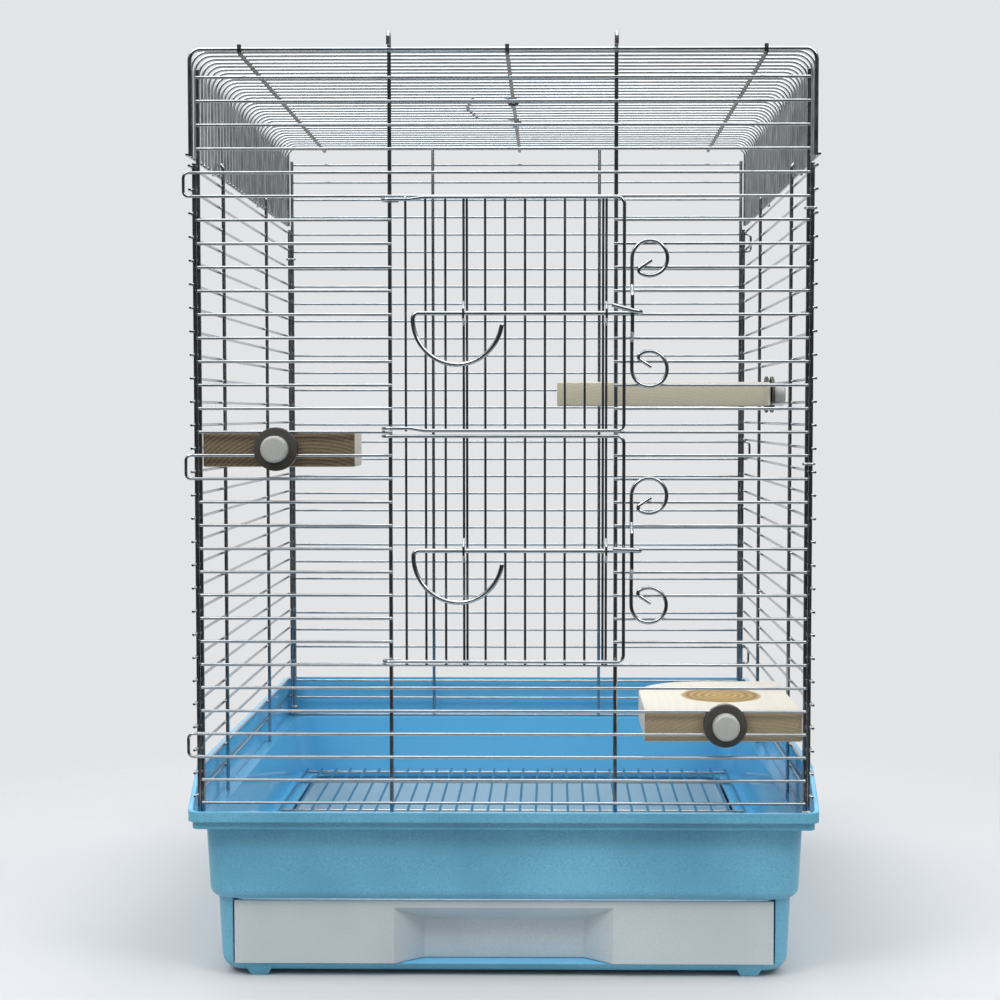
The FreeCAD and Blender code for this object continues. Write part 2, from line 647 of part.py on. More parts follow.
def roof_arches():
    first = arch(arch_place(0), ROOF_HALF_WIDTH, ROOF_HEIGHT, ROOF_CORNER, FINE_WIRE)
    return [first.translated(V(0, ARCH_PITCH * number, 0)) for number in range(ARCH_COUNT)]


def roof_end_arches():
    return [arch(y, END_ARCH_HALF_WIDTH, END_ARCH_Z, END_ARCH_CORNER, END_ARCH_WIRE)
            for y in (-END_ARCH_Y, END_ARCH_Y)]


def roof_rails():
    return [straight_wire(V(side * RAIL_X, -END_ARCH_Y, RAIL_HEIGHT),
                          V(side * RAIL_X, END_ARCH_Y, RAIL_HEIGHT), FINE_WIRE) for side in (-1, 1)]


def roof_braces():
    """Three rods under the arches, turned up outside both end arches."""
    tip_y = END_ARCH_Y + (END_ARCH_WIRE + BRACE_WIRE) / 2 + SEAT
    braces = []
    for x in BRACE_PLACES:
        wire = BentWire(V(x, -tip_y, BRACE_Z + BRACE_TIP), -Z)
        wire.run(BRACE_TIP - BRACE_BEND)
        wire.bend(X, BRACE_BEND, 90)
        wire.run(2 * (tip_y - BRACE_BEND))
        wire.bend(X, BRACE_BEND, 90)
        wire.run(BRACE_TIP - BRACE_BEND)
        braces.append(wire.solid(BRACE_WIRE))
    return braces


def carry_handle():
    """Swing handle: each end is a ring round the middle brace."""
    pivot_x = MIDDLE_BRACE_X
    arm_low, arm_high = [arch_place(gap + 0.5) for gap in HANDLE_ARM_GAPS]
    middle_y = (arm_low + arm_high) / 2
    ring = (BRACE_WIRE + HANDLE_WIRE) / 2 + RUNNING
    grip_z = ROOF_HEIGHT + (FINE_WIRE + HANDLE_WIRE) / 2 + RUNNING
    rise = grip_z - (BRACE_Z + ring)
    wire = BentWire(V(pivot_x - HANDLE_REACH, middle_y, grip_z), -Y)
    wire.bend(Z, HANDLE_PEAK_BEND, HANDLE_PEAK_ANGLE)
    slant = math.radians(HANDLE_PEAK_ANGLE)
    corner_reach = HANDLE_CORNER * (1 - math.sin(slant))
    remaining = (wire.place.y - arm_low - corner_reach) / math.cos(slant)
    wire.run(remaining)
    wire.bend(Z, HANDLE_CORNER, 90 - HANDLE_PEAK_ANGLE)
    wire.run(HANDLE_CORNER)
    wire.step(Y, HANDLE_CORNER, HANDLE_RISE_ANGLE, rise)
    wire.run_level_with(V(pivot_x, 0, 0))
    wire.bend(Y, ring, 270)
    return mirrored_wire(wire.edges, V(0, middle_y, 0), Y, HANDLE_WIRE)


# === hinge rings ====================================================================
def hinge_ring(side, end, height):
    """A long ring that ties a front or back corner post to its side post."""
    radius = (POST_WIRE + RING_WIRE) / 2 + SEAT
    wire = BentWire(V(CORNER_POST_X, -radius, 0), X)
    length = SIDE_POST_X - CORNER_POST_X
    for _ in range(2):
        wire.run(length)
        wire.bend(Z, radius, 180)
    ring = wire.solid(RING_WIRE)
    if side < 0:
        ring = ring.mirror(V(0, 0, 0), X)
    return ring.translated(V(0, end * POST_Y, height))


# === doors ==========================================================================
def door_frame(heights, curls):
    """One wire round three sides of the door, each end curled round the hinge post."""
    top, bottom = heights
    curl_top, curl_bottom = curls
    wire = BentWire(V(-DOOR_POST_X + CURL_TAIL, CURL_BACK_Y, curl_top), -X)
    wire.run(CURL_TAIL)
    wire.bend(Z, CURL_RADIUS, 180)
    wire.run(CURL_LEVEL_RUN)
    level_change(wire, top - curl_top)
    wire.run_level_with(V(DOOR_RIGHT_X - DOOR_CORNER, 0, 0))
    wire.bend(Y, DOOR_CORNER, 90)
    wire.run(top - bottom - 2 * DOOR_CORNER)
    wire.bend(Y, DOOR_CORNER, 90)
    below = bottom - curl_bottom
    wire.run_level_with(V(-DOOR_POST_X + CURL_LEVEL_RUN + level_length(below), 0, 0))
    level_change(wire, -below)
    wire.run(CURL_LEVEL_RUN)
    wire.bend(-Z, CURL_RADIUS, 180)
    wire.run(CURL_TAIL)
    return wire.solid(DOOR_WIRE)


def level_change(wire, rise):
    """Takes the door's wire up or down to the level of its curl, if they differ."""
    if abs(rise) < SEAT:
        return
    axis = wire.heading.cross(Z) * (1 if rise > 0 else -1)
    wire.step(axis, STEP_BEND, STEP_ANGLE, abs(rise))


def level_length(rise):
    """How far along the wire a change of level takes."""
    if abs(rise) < SEAT:
        return 0.0
    angle = math.radians(STEP_ANGLE)
    slant = (abs(rise) - 2 * STEP_BEND * (1 - math.cos(angle))) / math.sin(angle)
    return 2 * STEP_BEND * math.sin(angle) + slant * math.cos(angle)


def door_bars(heights, tails):
    """Upright bars welded behind the frame wire."""
    bottom = heights[1] - tails[1]
    top = heights[0] + tails[0]
    bars = []
    for number in range(DOOR_BAR_COUNT):
        x = DOOR_BAR_FIRST_X + DOOR_BAR_PITCH * number
        if number in GUIDED_BARS:
            x += TWIN_SPACING / 2 * guide_side(number)
        bars.append(straight_wire(V(x, BAR_Y, bottom), V(x, BAR_Y, top), DOOR_BAR))
    return bars


def guide_side(number):
    """The straight bar stands right of the first guide and left of the second."""
    return 1 if number == GUIDED_BARS[0] else -1


def rod_guides(heights, tails, rod_z):
    """Bars bent forward round the latch rod, one beside each doubled bar."""
    outward = BAR_Y - GUIDE_Y
    half_eye = (LATCH_WIRE + GUIDE_WIRE) / 2
    step_angle = 62.0
    step_bend = 1.3
    angle = math.radians(step_angle)
    slant = (outward - 2 * step_bend * (1 - math.cos(angle))) / math.sin(angle)
    step_length = 2 * step_bend * math.sin(angle) + slant * math.cos(angle)
    guides = []
    for number in GUIDED_BARS:
        x = DOOR_BAR_FIRST_X + DOOR_BAR_PITCH * number - TWIN_SPACING / 2 * guide_side(number)
        wire = BentWire(V(x, BAR_Y, heights[1] - tails[1]), Z)
        wire.run_level_with(V(0, 0, rod_z - half_eye - step_length))
        wire.step(X, step_bend, step_angle, outward)
        wire.run(2 * half_eye)
        wire.step(-X, step_bend, step_angle, outward)
        wire.run_level_with(V(0, 0, heights[0] + tails[0]))
        guides.append(wire.solid(DOOR_BAR))
    return guides


# === latches and keepers ============================================================
def latch(rod_z, slope):
    """Sliding rod: its right end folds back round the keeper, its left end is a loop."""
    across = ROD_Y - RETURN_Y
    radius = math.hypot(across, RETURN_LIFT) / 2
    bend_x = LATCH_TIP_X - LATCH_WIRE / 2 - radius
    to_rod = V(0, across, -RETURN_LIFT).normalize()
    angle = math.radians(slope)
    fall = LATCH_RETURN * math.sin(angle) + RETURN_BEND * (1 - math.cos(angle))
    length = LATCH_RETURN * math.cos(angle) + RETURN_BEND * math.sin(angle)
    wire = BentWire(V(bend_x - length, RETURN_Y, rod_z + RETURN_LIFT + fall),
                    V(math.cos(angle), 0, -math.sin(angle)))
    wire.run(LATCH_RETURN)
    wire.bend(-Y, RETURN_BEND, slope)
    wire.bend(X.cross(to_rod), radius, 180)
    wire.run_level_with(V(LATCH_LEFT_X + LATCH_HANDLE_BEND, 0, 0))
    wire.bend(-Y, LATCH_HANDLE_BEND, 90)
    turn = math.radians(LATCH_HANDLE_TURN)
    wire.bend(V(-math.sin(turn), -math.cos(turn), 0), LATCH_HANDLE_RADIUS, LATCH_HANDLE_SWEEP)
    return wire.solid(LATCH_WIRE)


def keeper(rod_z):
    """Upright wire on the panel, raised over the rod and scrolled at both ends."""
    raise_angle = 55.0
    raise_bend = 2.4
    wire = BentWire(V(KEEPER_X, KEEPER_RAISED_Y, rod_z), Z)
    wire.run(KEEPER_STAND_OFF_HALF)
    wire.step(-X, raise_bend, raise_angle, KEEPER_Y - KEEPER_RAISED_Y)
    wire.run_level_with(V(0, 0, rod_z + KEEPER_SCROLL_CENTRE))
    wire.bend(Y, KEEPER_SCROLL_RADIUS, KEEPER_SCROLL_SWEEP)
    wire.bend(Y, KEEPER_TAIL_BEND, 115)
    wire.run(KEEPER_TAIL)
    return mirrored_wire(wire.edges, V(0, 0, rod_z), Z, KEEPER_WIRE)


# === ledges =========================================================================
def rounded_board(x, y, z, corner, rounded):
    """A board with one or more of its upright corners rounded, and its edges broken."""
    board = plain_block(x, y, z)
    edges = []
    for edge in board.Edges:
        box = edge.BoundBox
        if box.ZLength > 1 and (round(box.XMin - x[0]) == 0, round(box.YMin - y[0]) == 0) in rounded:
            edges.append(edge)
    board = board.makeFillet(corner, edges)
    return board.makeChamfer(LEDGE_EDGE, rim_edges(board, z[0]) + rim_edges(board, z[1]))


def front_ledge(sizes, bolt, side):
    """A wooden ledge behind the front panel; its free back corner is rounded."""
    front = -CLAMP_INNER + WASHER_THICKNESS + SEAT
    outer = CORNER_POST_FACE - sizes["post_gap"]
    ends = sorted((side * outer, side * (outer - sizes["width"])))
    middle = bolt_height(FRONT_CROSS_TOP, bolt)
    heights = (middle - sizes["below"], middle + sizes["above"])
    rounded = [(side > 0, False)]
    board = rounded_board(ends, (front, front + sizes["depth"]), heights, sizes["corner"], rounded)
    hole = Part.makeCylinder(BOLT_DIAMETER / 2 + SCREW_FIT, BOLT_IN_WOOD,
                             V(bolt_place(sizes, side, bolt), front, middle), Y)
    return board.cut(hole)


def bolt_place(sizes, side, bolt):
    """Where the bolt of a front ledge stands along X."""
    return side * (CORNER_POST_FACE - sizes["post_gap"] - bolt["across"])


def side_ledge_end():
    """Where the side ledge ends at its inner washer, along X."""
    return SIDE_CROSS_X - FINE_WIRE / 2 - SEAT - WASHER_THICKNESS - SEAT


def side_ledge_back():
    """The back edge of the side ledge, in front of the hooked post, along Y."""
    return arch_place(SIDE_HOOK_GAPS[1] + 0.5) - POST_WIRE / 2 - SIDE_LEDGE_POST_GAP


def side_ledge():
    """A wooden ledge fixed by its end to the right-hand panel."""
    end = side_ledge_end()
    back = side_ledge_back()
    middle = bolt_height(SIDE_CROSS_TOP, SIDE_BOLT)
    heights = (middle - SIDE_LEDGE_HALF_THICKNESS, middle + SIDE_LEDGE_HALF_THICKNESS)
    rounded = [(True, True), (True, False), (False, True)]
    board = rounded_board((end - SIDE_LEDGE_LENGTH, end), (back - SIDE_LEDGE_WIDTH, back),
                          heights, SIDE_LEDGE_CORNER, rounded)
    hole = Part.makeCylinder(BOLT_DIAMETER / 2 + SCREW_FIT, BOLT_IN_WOOD,
                             V(end - BOLT_IN_WOOD, back - SIDE_BOLT["across"], middle), X)
    return board.cut(hole)


def washer():
    """Flat round washer from z = 0 upwards, with its outer edges broken."""
    disc = Part.makeCylinder(WASHER_DIAMETER / 2, WASHER_THICKNESS)
    disc = disc.makeFillet(WASHER_ROUND, rim_edges(disc, 0) + rim_edges(disc, WASHER_THICKNESS))
    return disc.cut(Part.makeCylinder(BOLT_DIAMETER / 2 + SCREW_FIT, WASHER_THICKNESS))


def cap_nut():
    """Round cap nut from z = 0 upwards, with a softly domed end."""
    cap = Part.makeCylinder(NUT_DIAMETER / 2, NUT_LENGTH)
    cap = cap.makeFillet(NUT_DOME, rim_edges(cap, NUT_LENGTH))
    return cap.cut(Part.makeCylinder(BOLT_DIAMETER / 2 + SCREW_FIT, BOLT_IN_NUT + SCREW_FIT))


def ledge_fasteners():
    """Inner washers, outer washers, bolts and cap nuts, standing out of each panel."""
    outwards_front = FreeCAD.Rotation(X, 90)
    outwards_side = FreeCAD.Rotation(Y, 90)
    side_inner = SIDE_CROSS_X - FINE_WIRE / 2 - SEAT
    side_outer = SIDE_CROSS_X + FINE_WIRE / 2 + SEAT
    left = V(bolt_place(LEFT_LEDGE, -1, LEFT_BOLT), -CLAMP_INNER, bolt_height(FRONT_CROSS_TOP, LEFT_BOLT))
    right = V(bolt_place(RIGHT_LEDGE, 1, RIGHT_BOLT), -CLAMP_INNER, bolt_height(FRONT_CROSS_TOP, RIGHT_BOLT))
    side = V(side_inner, side_ledge_back() - SIDE_BOLT["across"], bolt_height(SIDE_CROSS_TOP, SIDE_BOLT))
    clamps = [(outwards_front, left, -Y, CLAMP_OUTER - CLAMP_INNER),
              (outwards_front, right, -Y, CLAMP_OUTER - CLAMP_INNER),
              (outwards_side, side, X, side_outer - side_inner)]
    groups = {"ledge_inner_washers": [], "ledge_outer_washers": [], "ledge_bolts": [], "ledge_cap_nuts": []}
    for rotation, wire_face, outward, grip in clamps:
        inner_washer = wire_face - outward * WASHER_THICKNESS
        outer_washer = wire_face + outward * grip
        nut = outer_washer + outward * (WASHER_THICKNESS + SEAT)
        bolt_start = inner_washer - outward * (BOLT_IN_WOOD + SEAT - SCREW_FIT)
        bolt_length = (nut - bolt_start).Length + BOLT_IN_NUT
        placed = {"ledge_inner_washers": (washer(), inner_washer),
                  "ledge_outer_washers": (washer(), outer_washer),
                  "ledge_bolts": (Part.makeCylinder(BOLT_DIAMETER / 2, bolt_length), bolt_start),
                  "ledge_cap_nuts": (cap_nut(), nut)}
        for node, (solid, place) in placed.items():
            solid.Placement = FreeCAD.Placement(place, rotation)
            groups[node].append(solid)
    return groups


# === the whole cage =================================================================
def main():
    os.makedirs("parts", exist_ok=True)
    save("base_shell", [base_shell()])
    save("drawer", [drawer()])
    grid_rods, grid_crosses = floor_grid()
    save("floor_grid_rods", grid_rods)
    save("floor_grid_cross_rods", grid_crosses)

    crosses, snaps, posts = front_panel()
    save("front_panel_cross_wires", crosses)
    save("front_panel_snap_wires", snaps)
    save("front_panel_corner_posts", posts)
    save("front_panel_door_posts", door_posts())
    crosses, snaps, posts = back_panel()
    save("back_panel_cross_wires", crosses)
    save("back_panel_snap_wires", snaps)
    save("back_panel_posts", posts)
    for name, side in (("left", -1), ("right", 1)):
        crosses, posts = side_panel(side)
        save(name + "_panel_cross_wires", crosses)
        save(name + "_panel_posts", posts)

    save("roof_arches", roof_arches())
    save("roof_end_arches", roof_end_arches())
    save("roof_side_rails", roof_rails())
    save("roof_braces", roof_braces())
    save("carry_handle", [carry_handle()])
    front_rings = [below_cross_wire(FRONT_CROSS_TOP, near, drop) for near, drop in FRONT_RINGS]
    back_rings = [below_cross_wire(BACK_CROSS_TOP, near, drop) for near, drop in BACK_RINGS]
    save("front_hinge_rings", [hinge_ring(1, -1, z) for z in front_rings])
    save("back_hinge_rings", [hinge_ring(-1, 1, z) for z in back_rings])

    doors = (("upper", UPPER_DOOR, UPPER_CURLS, UPPER_BAR_TAILS, UPPER_LATCH_HEIGHT, UPPER_RETURN_SLOPE),
             ("lower", LOWER_DOOR, LOWER_CURLS, LOWER_BAR_TAILS, LOWER_LATCH_HEIGHT, LOWER_RETURN_SLOPE))
    for name, heights, curls, tails, rod_z, slope in doors:
        save(name + "_door_frame", [door_frame(heights, curls)])
        save(name + "_door_bars", door_bars(heights, tails))
        save(name + "_door_rod_guides", rod_guides(heights, tails, rod_z))
        save(name + "_latch", [latch(rod_z, slope)])
        save(name + "_keeper", [keeper(rod_z)])

    save("left_front_ledge", [front_ledge(LEFT_LEDGE, LEFT_BOLT, -1)])
    save("right_front_ledge", [front_ledge(RIGHT_LEDGE, RIGHT_BOLT, 1)])
    save("right_side_ledge", [side_ledge()])
    for node, solids in ledge_fasteners().items():
        save(node, solids)


main()
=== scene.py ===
import math

import bmesh
import bpy
from mathutils import Matrix, Vector


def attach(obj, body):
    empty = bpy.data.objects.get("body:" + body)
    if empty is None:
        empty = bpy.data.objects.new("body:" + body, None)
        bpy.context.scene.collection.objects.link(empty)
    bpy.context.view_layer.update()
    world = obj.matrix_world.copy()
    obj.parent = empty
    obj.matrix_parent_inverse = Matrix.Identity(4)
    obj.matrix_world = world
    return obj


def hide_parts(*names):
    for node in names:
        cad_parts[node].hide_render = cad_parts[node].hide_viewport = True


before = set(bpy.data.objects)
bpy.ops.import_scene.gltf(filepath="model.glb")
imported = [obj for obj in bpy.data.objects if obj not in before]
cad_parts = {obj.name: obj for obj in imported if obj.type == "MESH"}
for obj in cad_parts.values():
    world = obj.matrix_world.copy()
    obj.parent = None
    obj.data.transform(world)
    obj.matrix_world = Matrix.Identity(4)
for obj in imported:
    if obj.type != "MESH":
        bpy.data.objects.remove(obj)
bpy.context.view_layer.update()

MM = 0.001
X, Y, Z = Vector((1, 0, 0)), Vector((0, 1, 0)), Vector((0, 0, 1))


# ---- Studio ------------------------------------------------------------------------
# A pale table and wall, a wide soft light overhead and two weaker ones in front.
# The room behind the camera is dim, so bright wire shows dark where it faces it.
def srgb(hex_colour):
    """An sRGB hex colour as the linear red, green, blue and alpha a shader wants."""
    parts = [int(hex_colour[i:i + 2], 16) / 255 for i in (1, 3, 5)]
    return tuple(c / 12.92 if c <= 0.04045 else ((c + 0.055) / 1.055) ** 2.4 for c in parts) + (1.0,)


def add_node(tree, kind, inputs=(), **settings):
    """Adds a shader node, its settings, and a value or a link for each input named."""
    node = tree.nodes.new("ShaderNode" + kind)
    for name, value in settings.items():
        setattr(node, name, value)
    for socket, value in dict(inputs).items():
        if isinstance(value, bpy.types.NodeSocket):
            tree.links.new(value, node.inputs[socket])
        else:
            node.inputs[socket].default_value = value
    return node


def new_material(name):
    material = bpy.data.materials.new(name)
    material.use_nodes = True
    material.node_tree.nodes.clear()
    return material, material.node_tree


def mesh_object(name, bm, *materials):
    """Closes a bmesh into an object that stands at the origin."""
    bmesh.ops.recalc_face_normals(bm, faces=bm.faces)
    mesh = bpy.data.meshes.new(name)
    bm.to_mesh(mesh)
    bm.free()
    for material in materials:
        mesh.materials.append(material)
    mesh.shade_smooth()
    mesh.set_sharp_from_angle(angle=math.radians(35))
    obj = bpy.data.objects.new(name, mesh)
    bpy.context.scene.collection.objects.link(obj)
    return obj


BACKDROP_COLOUR = "#e3e4e6"
TABLE_HALF_WIDTH = 0.8
FADE_FROM, FADE_TO = 0.3, 0.75

# Matt laminate, solid under the cage. It fades away further out, so no edge shows.
floor_paint, tree = new_material("matt_table_laminate")
here = add_node(tree, "TexCoord").outputs["Object"]
far = add_node(tree, "VectorMath", {0: here}, operation="LENGTH")
fade = add_node(tree, "MapRange", {"Value": far.outputs["Value"], "From Min": FADE_FROM, "From Max": FADE_TO},
                interpolation_type="SMOOTHSTEP")
lit = add_node(tree, "BsdfDiffuse", {"Color": srgb("#c9cacc")})
gone = add_node(tree, "BsdfTransparent")
mix = add_node(tree, "MixShader", {0: fade.outputs[0], 1: lit.outputs[0], 2: gone.outputs[0]})
add_node(tree, "OutputMaterial", {"Surface": mix.outputs[0]})

bm = bmesh.new()
bmesh.ops.create_grid(bm, x_segments=1, y_segments=1, size=TABLE_HALF_WIDTH)
floor = mesh_object("studio_floor", bm, floor_paint)

world = bpy.data.worlds.new("dim_room")
bpy.context.scene.world = world
world.use_nodes = True
tree = world.node_tree
tree.nodes.clear()
seen_along = add_node(tree, "TexCoord").outputs["Generated"]
towards = add_node(tree, "SeparateXYZ", {0: seen_along})
path = add_node(tree, "LightPath")
# What lights the cage: walls that grow brighter towards the ceiling.
glow = add_node(tree, "MapRange", {"Value": towards.outputs["Z"], "From Min": -0.1, "From Max": 0.9,
                                   "To Min": 0.22, "To Max": 1.05}, interpolation_type="SMOOTHSTEP")
room = add_node(tree, "Background", {"Color": srgb("#f1f4f6"), "Strength": glow.outputs[0]})
# What the bright wire mirrors: a dark room in front, a lit ceiling, and the backdrop behind.
ceiling = add_node(tree, "MapRange", {"Value": towards.outputs["Z"], "From Min": 0.2, "From Max": 0.85,
                                      "To Min": 0.035, "To Max": 1.5}, interpolation_type="SMOOTHSTEP")
mirrored = add_node(tree, "Background", {"Color": srgb("#f3f5f7"), "Strength": ceiling.outputs[0]})
plain = add_node(tree, "Background", {"Color": srgb(BACKDROP_COLOUR), "Strength": 1.0})
behind = add_node(tree, "MapRange", {"Value": towards.outputs["Y"], "From Min": 0.3, "From Max": 0.8},
                  interpolation_type="SMOOTHSTEP")
around = add_node(tree, "MixShader", {0: behind.outputs[0], 1: mirrored.outputs[0], 2: plain.outputs[0]})
by_gloss = add_node(tree, "MixShader", {0: path.outputs["Is Glossy Ray"], 1: room.outputs[0],
                                        2: around.outputs[0]})
seen = add_node(tree, "MixShader", {0: path.outputs["Is Camera Ray"], 1: by_gloss.outputs[0],
                                    2: plain.outputs[0]})
add_node(tree, "OutputWorld", {"Surface": seen.outputs[0]})


def soft_light(name, place, target, size, watts):
    data = bpy.data.lights.new(name, "AREA")
    data.shape = "RECTANGLE"
    data.size, data.size_y = size
    data.energy = watts
    light = bpy.data.objects.new(name, data)
    light.location = place
    light.rotation_euler = (Vector(target) - Vector(place)).to_track_quat("-Z", "Y").to_euler()
    bpy.context.scene.collection.objects.link(light)


soft_light("overhead", (0.0, 0.0, 1.9), (0.0, 0.0, 0.3), (1.8, 1.6), 24.0)
soft_light("front_left", (-1.2, -1.4, 1.9), (0.0, 0.0, 0.2), (0.8, 0.7), 16.0)
soft_light("front_right", (1.3, -1.3, 1.8), (0.0, 0.0, 0.2), (0.8, 0.7), 13.0)

camera_data = bpy.data.cameras.new("camera")
camera_data.lens = 67.67
camera_data.sensor_width = 36.0
camera_data.shift_x = -0.0298
camera_data.shift_y = 0.0124
camera_data.dof.use_dof = False
camera = bpy.data.objects.new("camera", camera_data)
camera.location = (0.02904, -1.29106, 0.33433)
camera.rotation_euler = (math.radians(90 - 2.983), 0.0, math.radians(0.7036))
bpy.context.scene.collection.objects.link(camera)
bpy.context.scene.camera = camera
bpy.context.scene.view_settings.view_transform = "Standard"


# ---- Base shell --------------------------------------------------------------------
# One injection-moulded tub in sky-blue polypropylene: rim, bowl, drawer housing, feet.
# The mould was spark-eroded outside, which gives a fine grey-blue grain, and polished
# inside, which leaves it glossy. The inside and the faces that look up are also painted a
# brighter blue, which is painted light from above.
CLOUD_MM = 71.4286


def finish_plastic(name, colour, shade, grain_mm, rough, bump_mm, round_mm, polished_and_lit=None):
    """A moulded plastic. The optional (colour, roughness) pair is for the faces that look up or to the
    middle: glossier, with the colour painted as the light there makes it.
    """
    material, tree = new_material(name)
    here = add_node(tree, "TexCoord").outputs["Object"]
    grain = add_node(tree, "TexNoise", {"Vector": here, "Scale": 1 / (grain_mm * MM), "Detail": 2.0,
                                        "Roughness": 0.6})
    cloud = add_node(tree, "TexNoise", {"Vector": here, "Scale": 1 / (CLOUD_MM * MM), "Detail": 3.0})
    both = add_node(tree, "Math", {0: grain.outputs["Fac"], 1: cloud.outputs["Fac"]}, operation="MULTIPLY")
    amount = add_node(tree, "MapRange", {"Value": both.outputs[0], "From Min": 0.12, "From Max": 0.42})
    tint = add_node(tree, "Mix", {0: amount.outputs[0], 6: srgb(shade), 7: srgb(colour)}, data_type="RGBA")
    wear = add_node(tree, "MapRange", {"Value": cloud.outputs["Fac"], "From Min": 0.3, "From Max": 0.7,
                                       "To Min": rough - 0.05, "To Max": rough + 0.07})
    soft_edge = add_node(tree, "Bevel", {"Radius": round_mm * MM}, samples=4)
    bump = add_node(tree, "Bump", {"Height": grain.outputs["Fac"], "Distance": bump_mm * MM,
                                   "Strength": 0.6, "Normal": soft_edge.outputs[0]})
    looks = {"Base Color": tint.outputs[2], "Roughness": wear.outputs[0], "IOR": 1.49,
             "Normal": bump.outputs[0], "Subsurface Weight": 0.06, "Subsurface Scale": 4 * MM}
    if polished_and_lit:
        # Faces that look up or towards the middle are the polished inside; the colour they take is painted
        # light.
        outward = add_node(tree, "VectorMath", {0: here, 1: (1.0, 0.8, 0.0)}, operation="MULTIPLY")
        normal = add_node(tree, "NewGeometry").outputs["True Normal"]
        facing = add_node(tree, "VectorMath", {0: normal, 1: outward.outputs[0]}, operation="DOT_PRODUCT")
        upward = add_node(tree, "SeparateXYZ", {0: normal})
        lifted = add_node(tree, "Math", {0: upward.outputs["Z"], 1: -0.2, 2: facing.outputs["Value"]},
                          operation="MULTIPLY_ADD")
        inside = add_node(tree, "Math", {0: lifted.outputs[0], 1: -0.005}, operation="LESS_THAN")
        tint = add_node(tree, "Mix", {0: inside.outputs[0], 6: tint.outputs[2], 7: srgb(polished_and_lit[0])},
                        data_type="RGBA")
        gloss = add_node(tree, "Mix", {0: inside.outputs[0], 2: wear.outputs[0], 3: polished_and_lit[1]},
                         data_type="FLOAT")
        relief = add_node(tree, "Mix", {0: inside.outputs[0], 4: bump.outputs[0], 5: soft_edge.outputs[0]},
                          data_type="VECTOR")
        looks.update({"Base Color": tint.outputs[2], "Roughness": gloss.outputs[0],
                      "Normal": relief.outputs[1]})
    skin = add_node(tree, "BsdfPrincipled", looks)
    add_node(tree, "OutputMaterial", {"Surface": skin.outputs[0]})
    return material


def paint(node, material):
    """Gives a carried-over node its finish."""
    for material_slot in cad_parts[node].material_slots:
        material_slot.material = material


blue_polypropylene = finish_plastic("blue_polypropylene", "#77bdd6", "#5599b5", 0.8, 0.42, 0.05, 1.2,
                                    polished_and_lit=("#6abde8", 0.13))
paint("base_shell", blue_polypropylene)


# ---- Drawer ------------------------------------------------------------------------
# An open tray in pale grey polypropylene, moulded with the same fine grain outside. Its
# inside and upward faces are painted a pale blue, the light that the blue base throws into it.
grey_polypropylene = finish_plastic("grey_polypropylene", "#c8d0d2", "#b3bbbe", 0.8, 0.38, 0.04, 0.8,
                                    polished_and_lit=("#c2dcea", 0.22))
paint("drawer", grey_polypropylene)


# ---- Floor grid --------------------------------------------------------------------
# Round mild-steel rods, cut to length and resistance-welded where they cross, then
# plated with bright zinc. It lies loose on the shelf of the base, over the drawer.
WIRE_SIDES = 12
WORN_WIDTH, WORN_LENGTH = 0.72, 0.12     # the end that shears leave, in diameters


class Wire:
    """Round wire followed end to end: straight runs are extruded and bends are spun."""

    def __init__(self, bm, start, heading, diameter, sheared=True):
        self.bm = bm
        self.diameter = diameter
        self.place = Vector(start)
        self.heading = Vector(heading).normalized()
        self.ring_at = Vector(self.place)
        turn = self.heading.to_track_quat("Z", "Y").to_matrix().to_4x4()
        radius = diameter / 2 * (WORN_WIDTH if sheared else 1.0)
        made = bmesh.ops.create_circle(bm, segments=WIRE_SIDES, radius=radius * MM,
                                       matrix=Matrix.Translation(self.place * MM) @ turn)
        self.edges = list({edge for vert in made["verts"] for edge in vert.link_edges})
        if sheared:
            bmesh.ops.contextual_create(bm, geom=self.edges)
            self._advance(self.heading * diameter * WORN_LENGTH)
            self._resize(1 / WORN_WIDTH)

    def _verts(self):
        return list({vert for edge in self.edges for vert in edge.verts})

    def _advance(self, by):
        made = bmesh.ops.extrude_edge_only(self.bm, edges=self.edges)["geom"]
        self.edges = [item for item in made if isinstance(item, bmesh.types.BMEdge)]
        bmesh.ops.translate(self.bm, verts=self._verts(), vec=by * MM)
        self.ring_at = self.ring_at + by

    def _resize(self, factor):
        bmesh.ops.scale(self.bm, verts=self._verts(), vec=(factor,) * 3,
                        space=Matrix.Translation(-self.ring_at * MM))

    def run(self, length):
        self.place = self.place + self.heading * length
        self._advance(self.place - self.ring_at)
        return self

    def run_level_with(self, point):
        return self.run((Vector(point) - self.place).dot(self.heading))

    def bend(self, axis, radius, degrees, fine=9.0):
        """Bends the wire round an axis square to it, in steps of about fine degrees."""
        axis = Vector(axis).normalized()
        centre = self.place + axis.cross(self.heading) * radius
        steps = max(2, round(abs(degrees) / fine))
        made = bmesh.ops.spin(self.bm, geom=self.edges + self._verts(), cent=centre * MM, axis=axis,
                              angle=math.radians(degrees), steps=steps, use_duplicate=False)["geom_last"]
        self.edges = [item for item in made if isinstance(item, bmesh.types.BMEdge)]
        turn = Matrix.Rotation(math.radians(degrees), 3, axis)
        self.place = centre + turn @ (self.place - centre)
        self.ring_at = Vector(self.place)
        self.heading = turn @ self.heading
        return self

    def step(self, axis, radius, degrees, offset):
        """Two opposite bends that shift the wire sideways by an offset."""
        angle = math.radians(degrees)
        slant = (offset - 2 * radius * (1 - math.cos(angle))) / math.sin(angle)
        self.bend(axis, radius, degrees, 15.0)
        self.run(slant)
        return self.bend(-Vector(axis), radius, degrees, 15.0)

    def cut(self):
        """Ends the wire with the slightly worn edge that the shears leave."""
        chamfer = self.heading * self.diameter * WORN_LENGTH
        bmesh.ops.translate(self.bm, verts=self._verts(), vec=-chamfer * MM)
        self.ring_at = self.ring_at - chamfer
        self._advance(chamfer)
        self._resize(WORN_WIDTH)
        bmesh.ops.contextual_create(self.bm, geom=self.edges)


